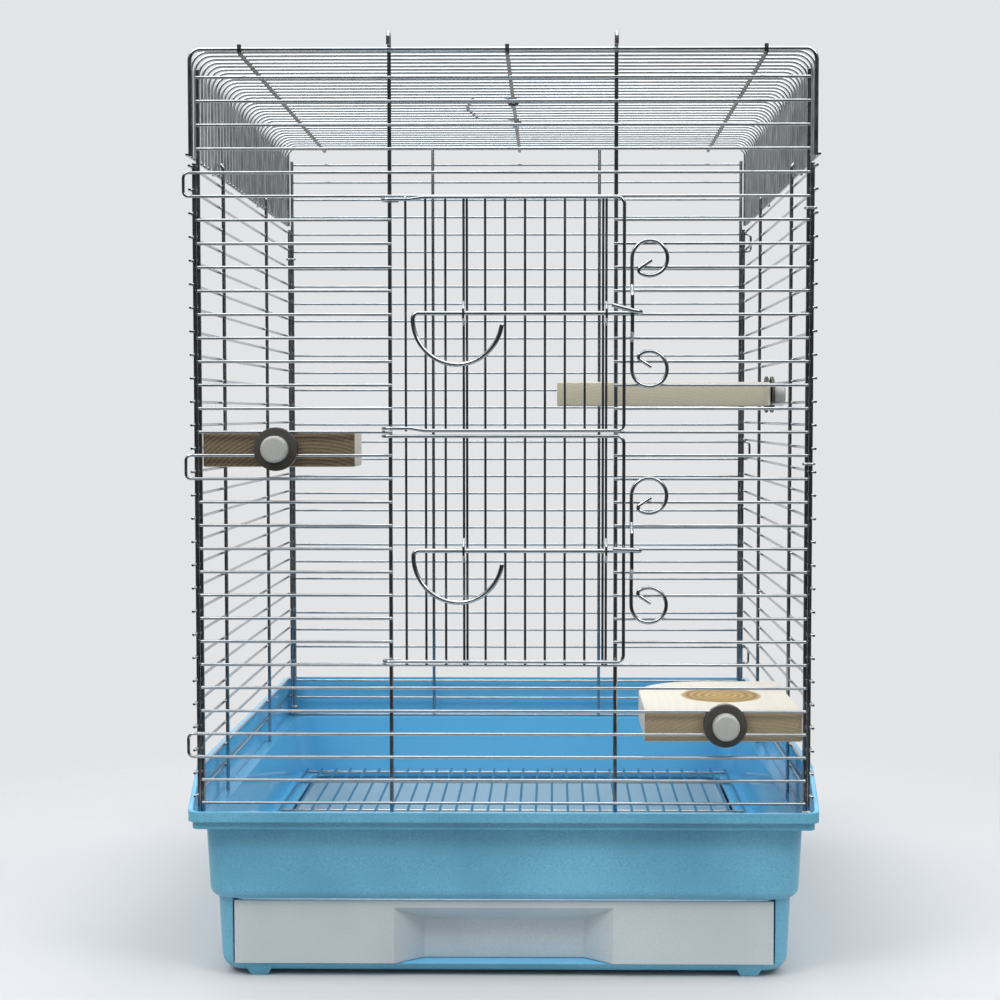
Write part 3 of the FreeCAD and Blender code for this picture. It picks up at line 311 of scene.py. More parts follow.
def straight(bm, start, end, diameter):
    start, end = Vector(start), Vector(end)
    Wire(bm, start, end - start, diameter).run((end - start).length).cut()


def weld(bm, place, diameter):
    """The small bead that a resistance weld squeezes out between two wires."""
    bmesh.ops.create_uvsphere(bm, u_segments=8, v_segments=5, radius=diameter * 0.52 * MM,
                              matrix=Matrix.Translation(Vector(place) * MM))


PATCH_MM, SPECK_MM = 11.1111, 1.11111


def zinc_plate(name, low, high, smooth, rough):
    """Zinc over drawn steel: a cool silver with faint cloudy patches in its gloss."""
    material, tree = new_material(name)
    here = add_node(tree, "TexCoord").outputs["Object"]
    patches = add_node(tree, "TexNoise", {"Vector": here, "Scale": 1 / (PATCH_MM * MM), "Detail": 4.0})
    specks = add_node(tree, "TexNoise", {"Vector": here, "Scale": 1 / (SPECK_MM * MM), "Detail": 2.0})
    tone = add_node(tree, "Mix", {0: patches.outputs["Fac"], 6: srgb(low), 7: srgb(high)}, data_type="RGBA")
    sheen = add_node(tree, "MapRange", {"Value": patches.outputs["Fac"], "From Min": 0.3, "From Max": 0.7,
                                        "To Min": smooth, "To Max": rough})
    relief = add_node(tree, "Bump", {"Height": specks.outputs["Fac"], "Distance": 0.04 * MM,
                                     "Strength": 0.35})
    metal = add_node(tree, "BsdfPrincipled", {"Base Color": tone.outputs[2], "Metallic": 1.0,
                                              "Roughness": sheen.outputs[0], "Normal": relief.outputs[0]})
    add_node(tree, "OutputMaterial", {"Surface": metal.outputs[0]})
    return material


bright_zinc = zinc_plate("bright_zinc_plate", "#9da3a6", "#c9cdd0", 0.14, 0.26)


def replace(bm, node, body="cage", plate=bright_zinc):
    """Makes the plated wires of one node and hangs them on their body."""
    wires = mesh_object(node + "_plated", bm, plate)
    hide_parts(node)
    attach(wires, body)


GRID_RODS, GRID_PITCH, GRID_ROD, GRID_CROSS_ROD = 30, 11.39, 1.8, 2.0
GRID_CROSS_Z, GRID_WELD_Z, GRID_ROD_Z = 51.52, 52.49, 53.44
GRID_HALF_LENGTH, GRID_CROSS_SPARE = 187.0, 1.5
GRID_CROSS_PLACES = (-184.0, -143.0, -39.0, 39.0, 143.0, 184.0)
GRID_HALF = GRID_PITCH * (GRID_RODS - 1) / 2

bm = bmesh.new()
for number in range(GRID_RODS):
    x = GRID_PITCH * number - GRID_HALF
    straight(bm, (x, -GRID_HALF_LENGTH, GRID_ROD_Z), (x, GRID_HALF_LENGTH, GRID_ROD_Z), GRID_ROD)
    for y in GRID_CROSS_PLACES:
        weld(bm, (x, y, GRID_WELD_Z), GRID_ROD)
replace(bm, "floor_grid_rods")

bm = bmesh.new()
reach = GRID_HALF + GRID_CROSS_SPARE
for y in GRID_CROSS_PLACES:
    straight(bm, (-reach, y, GRID_CROSS_Z), (reach, y, GRID_CROSS_Z), GRID_CROSS_ROD)
replace(bm, "floor_grid_cross_rods")


# ---- Front panel -------------------------------------------------------------------
# Fine cross wires welded in front of heavier posts. Some come in pairs bent from one
# length, which makes a snap loop past the corner. The door posts hook over the roof.
FINE_WIRE, POST_WIRE = 1.8, 2.4
CROSS_PITCH = 13.6
CROSS_Y, POST_Y, WELD_INSET = 199.2, 197.08, 1.0
CORNER_POST_X, DOOR_POST_X = 176.38, 65.5
POST_FOOT, CORNER_POST_TOP = 94.02, 533.0
FRONT_TOP, FRONT_COUNT = 528.1, 32
DOORWAY = range(6, 25)
SNAP_WIRES = (4, 16, 28)
SNAP_ROWS = [row for first in SNAP_WIRES for row in (first, first + 1)]
SNAP_REACH, SNAP_BEND = 184.6, 3.0
JAMB = DOOR_POST_X - POST_WIRE / 2
CROSS_END = 176.98
POST_HOOK_TOP, HOOK_DROP = 554.6, 4.5
DOOR_HOOK_LEG_Y = -203.7


def snap_pair(bm, y, top, first, plain_end, side):
    """Two cross wires and the loop that joins them, in one bent length."""
    z = top - CROSS_PITCH * first
    wire = Wire(bm, (plain_end, y, z), X * side, FINE_WIRE)
    wire.run_level_with(((SNAP_REACH - SNAP_BEND) * side, y, z))
    wire.bend(Y * side, SNAP_BEND, 90)
    wire.run(CROSS_PITCH - 2 * SNAP_BEND)
    wire.bend(Y * side, SNAP_BEND, 90)
    wire.run_level_with((plain_end, y, z))
    wire.cut()


bm = bmesh.new()
for row in range(FRONT_COUNT):
    z = FRONT_TOP - CROSS_PITCH * row
    spans = []
    if row in DOORWAY:
        spans.append((JAMB, CROSS_END))
    if row in DOORWAY and row not in SNAP_ROWS:
        spans.append((-CROSS_END, -JAMB))
    if row not in DOORWAY and row not in SNAP_ROWS:
        spans.append((-CROSS_END, CROSS_END))
    for left, right in spans:
        straight(bm, (left, -CROSS_Y, z), (right, -CROSS_Y, z), FINE_WIRE)
    for x in (-CORNER_POST_X, -DOOR_POST_X, DOOR_POST_X, CORNER_POST_X):
        weld(bm, (x, WELD_INSET - CROSS_Y, z), FINE_WIRE)
replace(bm, "front_panel_cross_wires")

bm = bmesh.new()
for first in SNAP_WIRES:
    snap_pair(bm, -CROSS_Y, FRONT_TOP, first, -JAMB if first in DOORWAY else CROSS_END, -1)
replace(bm, "front_panel_snap_wires")

bm = bmesh.new()
for x in (-CORNER_POST_X, CORNER_POST_X):
    straight(bm, (x, -POST_Y, POST_FOOT), (x, -POST_Y, CORNER_POST_TOP), POST_WIRE)
replace(bm, "front_panel_corner_posts")

bm = bmesh.new()
for x in (-DOOR_POST_X, DOOR_POST_X):
    radius = (-POST_Y - DOOR_HOOK_LEG_Y) / 2
    wire = Wire(bm, (x, -POST_Y, POST_FOOT), Z, POST_WIRE)
    wire.run_level_with((x, 0, POST_HOOK_TOP - POST_WIRE / 2 - radius))
    wire.bend(X, radius, 180)
    wire.run(HOOK_DROP).cut()
replace(bm, "front_panel_door_posts")


# ---- Back and side panels ----------------------------------------------------------
# Made as the front panel is, without a doorway. The middle posts of the sides hook
# over the rail at the foot of the roof.
BACK_TOP, BACK_COUNT, BACK_POST_TOP = 530.2, 33, 545.0
SIDE_TOP, SIDE_COUNT = 477.7, 28
SIDE_POST_X, SIDE_CROSS_X = 178.8, 180.92
SIDE_REACH = 200.28
SIDE_POST_TOP, SIDE_HOOK_TOP = 479.6, 492.6
SIDE_HOOK_PLACES = (-100.026, 77.798)
SIDE_HOOK_LEG_X = 184.52

bm = bmesh.new()
back_posts = (-CORNER_POST_X, -DOOR_POST_X, DOOR_POST_X, CORNER_POST_X)
for row in range(BACK_COUNT):
    z = BACK_TOP - CROSS_PITCH * row
    if row not in SNAP_ROWS:
        straight(bm, (-CROSS_END, CROSS_Y, z), (CROSS_END, CROSS_Y, z), FINE_WIRE)
    for x in back_posts:
        weld(bm, (x, CROSS_Y - WELD_INSET, z), FINE_WIRE)
replace(bm, "back_panel_cross_wires")

bm = bmesh.new()
for first in SNAP_WIRES:
    snap_pair(bm, CROSS_Y, BACK_TOP, first, -CROSS_END, 1)
replace(bm, "back_panel_snap_wires")

bm = bmesh.new()
for x in back_posts:
    top = CORNER_POST_TOP if abs(x) == CORNER_POST_X else BACK_POST_TOP
    straight(bm, (x, POST_Y, POST_FOOT), (x, POST_Y, top), POST_WIRE)
replace(bm, "back_panel_posts")

for name, side in (("left", -1), ("right", 1)):
    bm = bmesh.new()
    for row in range(SIDE_COUNT):
        z = SIDE_TOP - CROSS_PITCH * row
        straight(bm, (side * SIDE_CROSS_X, -SIDE_REACH, z), (side * SIDE_CROSS_X, SIDE_REACH, z), FINE_WIRE)
        for y in (-POST_Y, *SIDE_HOOK_PLACES, POST_Y):
            weld(bm, (side * (SIDE_CROSS_X - WELD_INSET), y, z), FINE_WIRE)
    replace(bm, name + "_panel_cross_wires")

    bm = bmesh.new()
    for y in (-POST_Y, POST_Y):
        straight(bm, (side * SIDE_POST_X, y, POST_FOOT), (side * SIDE_POST_X, y, SIDE_POST_TOP), POST_WIRE)
    radius = (SIDE_HOOK_LEG_X - SIDE_POST_X) / 2
    for y in SIDE_HOOK_PLACES:
        wire = Wire(bm, (side * SIDE_POST_X, y, POST_FOOT), Z, POST_WIRE)
        wire.run_level_with((0, y, SIDE_HOOK_TOP - POST_WIRE / 2 - radius))
        wire.bend(Y * side, radius, 180)
        wire.run(HOOK_DROP).cut()
    replace(bm, name + "_panel_posts")


# ---- Roof --------------------------------------------------------------------------
# Thin arches of satin wire bent over the top and down both sides, between two heavier
# end arches, welded to three duller braces under them and to a rail along each foot.
ROOF_HALF_WIDTH, ROOF_HEIGHT, ROOF_CORNER, ROOF_FOOT = 180.3, 543.4, 10.0, 482.6
ARCH_COUNT, ARCH_PITCH = 36, 11.114
END_ARCH_Y, END_ARCH_HALF_WIDTH, END_ARCH_Z, END_ARCH_CORNER = 201.0, 180.0, 543.7, 6.0
BRACE_Z, BRACE_PLACES = 541.28, (-151.0, 2.7, 151.0)
BRACE_TIP, BRACE_BEND, BRACE_TIP_Y = 4.9, 2.4, 203.42
RAIL_X, RAIL_HEIGHT, ARCH_WELD_INSET = 182.12, 484.0, 0.9
# Satin plate scatters the light of the room, and its tones are painted paler than the posts'
# zinc as painted light, so the thin wires look paler than the posts.
satin_lightened_zinc = zinc_plate("satin_lightened_zinc_plate", "#b0b5b7", "#d6d9db", 0.3, 0.44)
# The braces' plate is dull, and its dark brownish grey is painted shade, for they look
# nearly black from below.
dull_shaded_zinc = zinc_plate("dull_shaded_zinc_plate", "#5f5c56", "#7d7a72", 0.3, 0.45)


def arch(bm, y, half_width, height, corner, diameter):
    wire = Wire(bm, (-half_width, y, ROOF_FOOT), Z, diameter)
    wire.run(height - corner - ROOF_FOOT)
    wire.bend(Y, corner, 90)
    wire.run(2 * (half_width - corner))
    wire.bend(Y, corner, 90)
    wire.run(height - corner - ROOF_FOOT).cut()


def arch_place(number):
    return ARCH_PITCH * (number - (ARCH_COUNT - 1) / 2)


bm = bmesh.new()
for number in range(ARCH_COUNT):
    arch(bm, arch_place(number), ROOF_HALF_WIDTH, ROOF_HEIGHT, ROOF_CORNER, FINE_WIRE)
    for x in BRACE_PLACES:
        weld(bm, (x, arch_place(number), ROOF_HEIGHT - ARCH_WELD_INSET), FINE_WIRE)
    for side in (-1, 1):
        weld(bm, (side * (RAIL_X - ARCH_WELD_INSET), arch_place(number), RAIL_HEIGHT), FINE_WIRE)
replace(bm, "roof_arches", plate=satin_lightened_zinc)

bm = bmesh.new()
for y in (-END_ARCH_Y, END_ARCH_Y):
    arch(bm, y, END_ARCH_HALF_WIDTH, END_ARCH_Z, END_ARCH_CORNER, POST_WIRE)
replace(bm, "roof_end_arches")

bm = bmesh.new()
for x in (-RAIL_X, RAIL_X):
    straight(bm, (x, -END_ARCH_Y, RAIL_HEIGHT), (x, END_ARCH_Y, RAIL_HEIGHT), FINE_WIRE)
replace(bm, "roof_side_rails")

bm = bmesh.new()
for x in BRACE_PLACES:
    wire = Wire(bm, (x, -BRACE_TIP_Y, BRACE_Z + BRACE_TIP), -Z, POST_WIRE)
    wire.run(BRACE_TIP - BRACE_BEND)
    wire.bend(X, BRACE_BEND, 90)
    wire.run(2 * (BRACE_TIP_Y - BRACE_BEND))
    wire.bend(X, BRACE_BEND, 90)
    wire.run(BRACE_TIP - BRACE_BEND).cut()
replace(bm, "roof_braces", plate=dull_shaded_zinc)


# ---- Carrying handle ---------------------------------------------------------------
# One bent wire whose ends are rings round the middle brace. It lies flat on the
# arches and swings up to be held.
HANDLE_WIRE, HANDLE_PIVOT_X, HANDLE_MIDDLE_Y, HANDLE_ARM_Y = 2.4, 2.7, 11.114, -33.342
HANDLE_REACH, HANDLE_CORNER, HANDLE_RING = 32.5, 6.0, 2.7
HANDLE_PEAK_ANGLE, HANDLE_PEAK_BEND, HANDLE_RISE_ANGLE = 8.0, 50.0, 9.0
HANDLE_Z = 545.8


def mirror_wire(bm, place, axis):
    """Adds the mirror image of a half wire and closes the seam between the halves."""
    bmesh.ops.mirror(bm, geom=bm.verts[:] + bm.edges[:] + bm.faces[:], axis=axis, merge_dist=-1.0,
                     matrix=Matrix.Translation(-place * MM))
    bmesh.ops.remove_doubles(bm, verts=bm.verts, dist=0.02 * MM)
    inner = [face for face in bm.faces if len(face.verts) == WIRE_SIDES
             and abs((face.calc_center_median() - place * MM)["XYZ".index(axis)]) < 0.01 * MM]
    bmesh.ops.delete(bm, geom=inner, context="FACES_ONLY")


bm = bmesh.new()
rise = HANDLE_Z - (BRACE_Z + HANDLE_RING)
wire = Wire(bm, (HANDLE_PIVOT_X - HANDLE_REACH, HANDLE_MIDDLE_Y, HANDLE_Z), -Y, HANDLE_WIRE, False)
wire.bend(Z, HANDLE_PEAK_BEND, HANDLE_PEAK_ANGLE, 2.0)
slant = math.radians(HANDLE_PEAK_ANGLE)
wire.run((wire.place.y - HANDLE_ARM_Y - HANDLE_CORNER * (1 - math.sin(slant))) / math.cos(slant))
wire.bend(Z, HANDLE_CORNER, 90 - HANDLE_PEAK_ANGLE)
wire.run(HANDLE_CORNER)
wire.step(Y, HANDLE_CORNER, HANDLE_RISE_ANGLE, rise)
wire.run_level_with((HANDLE_PIVOT_X, 0, 0))
wire.bend(Y, HANDLE_RING, 270).cut()
mirror_wire(bm, Vector((0, HANDLE_MIDDLE_Y, 0)), "Y")
replace(bm, "carry_handle", "carry_handle")


# ---- Hinge rings -------------------------------------------------------------------
# Long rings of thin wire that tie a corner post of one panel to that of the next.
RING_WIRE, RING_RADIUS = 1.6, 2.02
FRONT_RING_HEIGHTS = (101.5, 305.6, 453.3)
BACK_RING_HEIGHTS = (101.8, 306.8, 456.4)

for node, side, end, heights in (("front_hinge_rings", 1, -1, FRONT_RING_HEIGHTS),
                                 ("back_hinge_rings", -1, 1, BACK_RING_HEIGHTS)):
    bm = bmesh.new()
    for z in heights:
        wire = Wire(bm, (side * CORNER_POST_X, end * POST_Y - RING_RADIUS, z), X * side, RING_WIRE)
        for _ in range(2):
            wire.run(SIDE_POST_X - CORNER_POST_X)
            wire.bend(Z * side, RING_RADIUS, 180)
        wire.cut()
    replace(bm, node)


# ---- Doors -------------------------------------------------------------------------
# Each door is one wire bent round three sides, with both ends curled loosely round
# the left post, and upright bars welded behind it. Two bars are doubled by a bent one
# that holds the latch rod.
DOOR_WIRE, DOOR_BAR, GUIDE_WIRE, LATCH_WIRE = 2.0, 1.5, 1.6, 2.6
BAR_Y, FRAME_Y, CURL_BACK_Y = -201.15, -202.92, -194.53
CURL_RADIUS = (CURL_BACK_Y - FRAME_Y) / 2
CURL_TAIL, CURL_LEVEL_RUN = 5.0, 11.0
DOOR_RIGHT_X, DOOR_CORNER = 70.1, 4.0
STEP_ANGLE, STEP_BEND = 9.0, 12.0
BAR_FIRST_X, BAR_PITCH, BAR_COUNT, BAR_WELD_OUT = -56.1, 11.5, 11, 0.85
GUIDED_BARS, TWIN_SPACING = (3, 10), 1.9
ROD_Y, GUIDE_Y, GUIDE_BEND, GUIDE_ANGLE = -205.52, -207.92, 1.3, 62.0
HALF_EYE = (LATCH_WIRE + GUIDE_WIRE) / 2
SAME_LEVEL = 0.02
DOORS = {
    "upper": dict(top=459.1, bottom=325.0, curls=(457.9, 326.3), tails=(0.6, 0.6), rod=392.5, slope=15.0),
    "lower": dict(top=321.7, bottom=190.4, curls=(321.7, 190.4), tails=(0.6, 2.4), rod=255.4, slope=2.0),
}


def level_change(wire, rise):
    """Takes the door wire up or down to the level of its curl, if they differ."""
    if abs(rise) > SAME_LEVEL:
        wire.step(wire.heading.cross(Z) * (1 if rise > 0 else -1), STEP_BEND, STEP_ANGLE, abs(rise))


def step_length(radius, degrees, offset):
    """How far along the wire's first heading a step of that offset reaches."""
    angle = math.radians(degrees)
    slant = (offset - 2 * radius * (1 - math.cos(angle))) / math.sin(angle)
    return 2 * radius * math.sin(angle) + slant * math.cos(angle)


for name, door in DOORS.items():
    body = name + "_door"
    bm = bmesh.new()
    wire = Wire(bm, (-DOOR_POST_X + CURL_TAIL, CURL_BACK_Y, door["curls"][0]), -X, DOOR_WIRE)
    wire.run(CURL_TAIL)
    wire.bend(Z, CURL_RADIUS, 180, 15.0)
    wire.run(CURL_LEVEL_RUN)
    level_change(wire, door["top"] - door["curls"][0])
    wire.run_level_with((DOOR_RIGHT_X - DOOR_CORNER, 0, 0))
    wire.bend(Y, DOOR_CORNER, 90)
    wire.run(door["top"] - door["bottom"] - 2 * DOOR_CORNER)
    wire.bend(Y, DOOR_CORNER, 90)
    below = door["bottom"] - door["curls"][1]
    change = step_length(STEP_BEND, STEP_ANGLE, abs(below)) if abs(below) > SAME_LEVEL else 0.0
    wire.run_level_with((-DOOR_POST_X + CURL_LEVEL_RUN + change, 0, 0))
    level_change(wire, -below)
    wire.run(CURL_LEVEL_RUN)
    wire.bend(-Z, CURL_RADIUS, 180, 15.0)
    wire.run(CURL_TAIL).cut()
    replace(bm, name + "_door_frame", body)

    low, high = door["bottom"] - door["tails"][1], door["top"] + door["tails"][0]
    bars, guides = bmesh.new(), bmesh.new()
    for number in range(BAR_COUNT):
        x = BAR_FIRST_X + BAR_PITCH * number
        if number in GUIDED_BARS:
            shift = TWIN_SPACING / 2 * (1 if number == GUIDED_BARS[0] else -1)
            outward = BAR_Y - GUIDE_Y
            leave = door["rod"] - HALF_EYE - step_length(GUIDE_BEND, GUIDE_ANGLE, outward)
            wire = Wire(guides, (x - shift, BAR_Y, low), Z, DOOR_BAR)
            wire.run_level_with((0, 0, leave))
            wire.step(X, GUIDE_BEND, GUIDE_ANGLE, outward)
            wire.run(2 * HALF_EYE)
            wire.step(-X, GUIDE_BEND, GUIDE_ANGLE, outward)
            wire.run_level_with((0, 0, high)).cut()
            x += shift
        straight(bars, (x, BAR_Y, low), (x, BAR_Y, high), DOOR_BAR)
        for z in (door["top"], door["bottom"]):
            weld(bars, (x, BAR_Y - BAR_WELD_OUT, z), DOOR_BAR)
    replace(bars, name + "_door_bars", body)
    replace(guides, name + "_door_rod_guides", body)


# ---- Latches -----------------------------------------------------------------------
# A rod that slides through the guides. Its right end folds back in front of the
# keeper, and its left end is bent round into an open loop for one finger.
LATCH_TIP_X, LATCH_RETURN, RETURN_Y, RETURN_LIFT, RETURN_BEND = 80.7, 13.0, -210.92, 0.9, 5.0
LATCH_LEFT_X, LATCH_BEND, LATCH_LOOP, LATCH_SWEEP, LATCH_TURN = -51.7, 3.2, 26.4, 172.0, 11.0

for name, door in DOORS.items():
    bm = bmesh.new()
    across = ROD_Y - RETURN_Y
    radius = math.hypot(across, RETURN_LIFT) / 2
    to_rod = Vector((0, across, -RETURN_LIFT)).normalized()
    angle = math.radians(door["slope"])
    fall = LATCH_RETURN * math.sin(angle) + RETURN_BEND * (1 - math.cos(angle))
    length = LATCH_RETURN * math.cos(angle) + RETURN_BEND * math.sin(angle)
    free_end = (LATCH_TIP_X - LATCH_WIRE / 2 - radius - length, RETURN_Y, door["rod"] + RETURN_LIFT + fall)
    wire = Wire(bm, free_end, (math.cos(angle), 0, -math.sin(angle)), LATCH_WIRE)
    wire.run(LATCH_RETURN)
    wire.bend(-Y, RETURN_BEND, door["slope"], 5.0)
    wire.bend(X.cross(to_rod), radius, 180)
    wire.run_level_with((LATCH_LEFT_X + LATCH_BEND, 0, 0))
    wire.bend(-Y, LATCH_BEND, 90)
    turn = math.radians(LATCH_TURN)
    wire.bend((-math.sin(turn), -math.cos(turn), 0), LATCH_LOOP, LATCH_SWEEP, 5.0).cut()
    replace(bm, name + "_latch", name + "_latch")


# ---- Keepers -----------------------------------------------------------------------
# An upright wire welded to the cross wires beside the door, raised in the middle over
# the latch rod, with both ends rolled into a scroll so that they can't scratch.
KEEPER_WIRE, KEEPER_X, KEEPER_Y, KEEPER_RAISED_Y = 2.2, 74.6, -201.22, -208.22
KEEPER_HALF, SCROLL_CENTRE, SCROLL_RADIUS, SCROLL_SWEEP = 9.5, 31.9, 10.2, 302.0
KEEPER_TAIL_BEND, KEEPER_TAIL_TURN, KEEPER_TAIL = 1.9, 115.0, 8.0
KEEPER_RAISE_BEND, KEEPER_RAISE_ANGLE = 2.4, 55.0

for name, door in DOORS.items():
    bm = bmesh.new()
    wire = Wire(bm, (KEEPER_X, KEEPER_RAISED_Y, door["rod"]), Z, KEEPER_WIRE, False)
    wire.run(KEEPER_HALF)
    wire.step(-X, KEEPER_RAISE_BEND, KEEPER_RAISE_ANGLE, KEEPER_Y - KEEPER_RAISED_Y)
    wire.run_level_with((0, 0, door["rod"] + SCROLL_CENTRE))
    wire.bend(Y, SCROLL_RADIUS, SCROLL_SWEEP)
    wire.bend(Y, KEEPER_TAIL_BEND, KEEPER_TAIL_TURN, 15.0)
    wire.run(KEEPER_TAIL).cut()
    mirror_wire(bm, Vector((0, 0, door["rod"])), "Z")
    replace(bm, name + "_keeper")


# ---- Ledges ------------------------------------------------------------------------
# Short planks of a pale softwood, sawn across, sanded and left bare. The sawn end
# that faces the wire is darker and shows the growth rings.
WANDER_MM, RING_MM, FIBRE_MM, PORE_MM, BURR_MM = 38.4615, 2.16662, 0.909091, 0.769231, 2.38095
ALONG = 0.035     # how much the fibres are drawn out along the plank


def wood(name, pale, dark, end_pale, end_dark, heart, ring_contrast=0.85, knot=None):
    """Planed along Y: faces across the plank show end grain round the heart (x, z)."""
    material, tree = new_material(name)
    here = add_node(tree, "TexCoord").outputs["Object"]
    normal = add_node(tree, "NewGeometry").outputs["True Normal"]
    wander = add_node(tree, "TexNoise", {"Vector": here, "Scale": 1 / (WANDER_MM * MM), "Detail": 3.0})
    # Growth rings show on the end as arcs and along the plank as long lines. A wave
    # node repeats every pi / 10.
    centred = add_node(tree, "Mapping", {"Vector": here, "Location": (-heart[0] * MM, 0.0, -heart[1] * MM)})
    flat = add_node(tree, "VectorMath", {0: centred.outputs[0], 1: (1.0, 0.04, 1.0)}, operation="MULTIPLY")
    bent = add_node(tree, "VectorMath", {0: wander.outputs["Color"], 1: (4 * MM,) * 3, 2: flat.outputs[0]},
                    operation="MULTIPLY_ADD")
    rings = add_node(tree, "TexWave", {"Vector": bent.outputs[0], "Scale": math.pi / 10 / (RING_MM * MM),
                                       "Distortion": 0.6, "Detail": 2.0, "Detail Scale": 0.6},
                     wave_type="RINGS", rings_direction="Y", wave_profile="SAW")
    drawn_out = add_node(tree, "VectorMath", {0: here, 1: (1.0, ALONG, 1.0)}, operation="MULTIPLY")
    fibres = add_node(tree, "TexNoise", {"Vector": drawn_out.outputs[0], "Scale": 1 / (FIBRE_MM * MM),
                                         "Detail": 3.0})
    pores = add_node(tree, "TexNoise", {"Vector": here, "Scale": 1 / (PORE_MM * MM), "Detail": 2.0})
    facing = add_node(tree, "SeparateXYZ", {0: normal})
    squared = add_node(tree, "Math", {0: facing.outputs["Y"], 1: facing.outputs["Y"]}, operation="MULTIPLY")
    on_end = add_node(tree, "MapRange", {"Value": squared.outputs[0], "From Min": 0.35, "From Max": 0.8})
    faint = add_node(tree, "Math", {0: rings.outputs["Fac"], 1: 0.35}, operation="MULTIPLY")
    blur = add_node(tree, "Math", {0: fibres.outputs["Fac"], 1: 0.4, 2: faint.outputs[0]},
                    operation="MULTIPLY_ADD")
    side_tone = add_node(tree, "Mix", {0: blur.outputs[0], 6: srgb(pale), 7: srgb(dark)}, data_type="RGBA")
    speck = add_node(tree, "Math", {0: pores.outputs["Fac"], 1: 1.2, 2: -0.2 - ring_contrast / 2},
                     operation="MULTIPLY_ADD")
    ring_mix = add_node(tree, "Math", {0: rings.outputs["Fac"], 1: ring_contrast, 2: speck.outputs[0]},
                        operation="MULTIPLY_ADD", use_clamp=True)
    end_tone = add_node(tree, "Mix", {0: ring_mix.outputs[0], 6: srgb(end_pale), 7: srgb(end_dark)},
                        data_type="RGBA")
    tone = add_node(tree, "Mix", {0: on_end.outputs[0], 6: side_tone.outputs[2], 7: end_tone.outputs[2]},
                    data_type="RGBA")
    if knot:
        # The knot is an oval of darker, coarser wood on the top face.
        (kx, ky), (half_x, half_y), knot_pale, knot_dark = knot
        oval = add_node(tree, "Mapping", {"Vector": here, "Location": (-kx / half_x, -ky / half_y, 0.0),
                                          "Scale": (1 / (half_x * MM), 1 / (half_y * MM), 0.0)})
        far = add_node(tree, "VectorMath", {0: oval.outputs[0]}, operation="LENGTH")
        ragged = add_node(tree, "Math", {0: wander.outputs["Fac"], 1: 0.12, 2: far.outputs["Value"]},
                          operation="MULTIPLY_ADD")
        inside = add_node(tree, "MapRange", {"Value": ragged.outputs[0], "From Min": 1.08, "From Max": 1.0})
        on_top = add_node(tree, "Math", {0: facing.outputs["Z"], 1: 0.8}, operation="GREATER_THAN")
        masked = add_node(tree, "Math", {0: inside.outputs[0], 1: on_top.outputs[0]}, operation="MULTIPLY")
        burr = add_node(tree, "TexNoise", {"Vector": here, "Scale": 1 / (BURR_MM * MM), "Detail": 4.0,
                                           "Distortion": 1.2})
        swirl = add_node(tree, "TexWave", {"Vector": oval.outputs[0], "Scale": 1.7, "Distortion": 3.0,
                                           "Detail": 3.0, "Detail Scale": 1.6},
                         wave_type="RINGS", rings_direction="Z")
        streaks = add_node(tree, "Math", {0: burr.outputs["Fac"], 1: swirl.outputs["Fac"]},
                           operation="MULTIPLY")
        core = add_node(tree, "Math", {0: ragged.outputs[0], 1: 0.3, 2: streaks.outputs[0]},
                        operation="MULTIPLY_ADD")
        depth = add_node(tree, "MapRange", {"Value": core.outputs[0], "From Min": 0.1, "From Max": 0.85})
        knot_tone = add_node(tree, "Mix", {0: depth.outputs[0], 6: srgb(knot_pale), 7: srgb(knot_dark)},
                             data_type="RGBA")
        tone = add_node(tree, "Mix", {0: masked.outputs[0], 6: tone.outputs[2], 7: knot_tone.outputs[2]},
                        data_type="RGBA")
    relief = add_node(tree, "Bump", {"Height": blur.outputs[0], "Distance": 0.12 * MM, "Strength": 0.5})
    skin = add_node(tree, "BsdfPrincipled", {"Base Color": tone.outputs[2], "Roughness": 0.62, "IOR": 1.53,
                                             "Normal": relief.outputs[0]})
    add_node(tree, "OutputMaterial", {"Surface": skin.outputs[0]})
    return material


SANDED_EDGE = 1.0


def plank(x, y, z, corners):
    """A sawn plank; corners = {(right side, back): radius} for the upright ones."""
    bm = bmesh.new()
    size = Matrix.Diagonal(((x[1] - x[0]) * MM, (y[1] - y[0]) * MM, (z[1] - z[0]) * MM, 1))
    middle = Matrix.Translation(Vector((sum(x), sum(y), sum(z))) / 2 * MM)
    bmesh.ops.create_cube(bm, size=1.0, matrix=middle @ size)
    for (right, back), radius in corners.items():
        corner = Vector((x[right] * MM, y[back] * MM))
        upright = [edge for edge in bm.edges
                   if all((vert.co.xy - corner).length < 0.01 * MM for vert in edge.verts)]
        bmesh.ops.bevel(bm, geom=upright, offset=radius * MM, offset_type="OFFSET", segments=24, profile=0.5,
                        affect="EDGES", material=-1)
    level = [edge for edge in bm.edges if abs(edge.verts[0].co.z - edge.verts[1].co.z) < 0.001 * MM]
    bmesh.ops.bevel(bm, geom=level, offset=SANDED_EDGE * MM, segments=3, profile=0.5, affect="EDGES",
                    material=-1)
    return bm


# Pine, sanded: cream along the grain, brown and ringed where the saw crossed it.
dark_ended = wood("pine_dark_end", "#e9e3d6", "#d8cfbc", "#8f7c60", "#42372b", (-110.0, 250.0))
knotted = wood("pine_knotted", "#e9e4d8", "#ddd7c8", "#b3a283", "#7d6e54", (150.0, 60.0), 0.3,
               ((133.0, -134.0), (25.0, 30.0), "#c9a763", "#7a6240"))
plain = wood("pine_plain", "#dcd6c6", "#cbc3b1", "#d6ceb8", "#b9af96", (90.0, 180.0), 0.4)

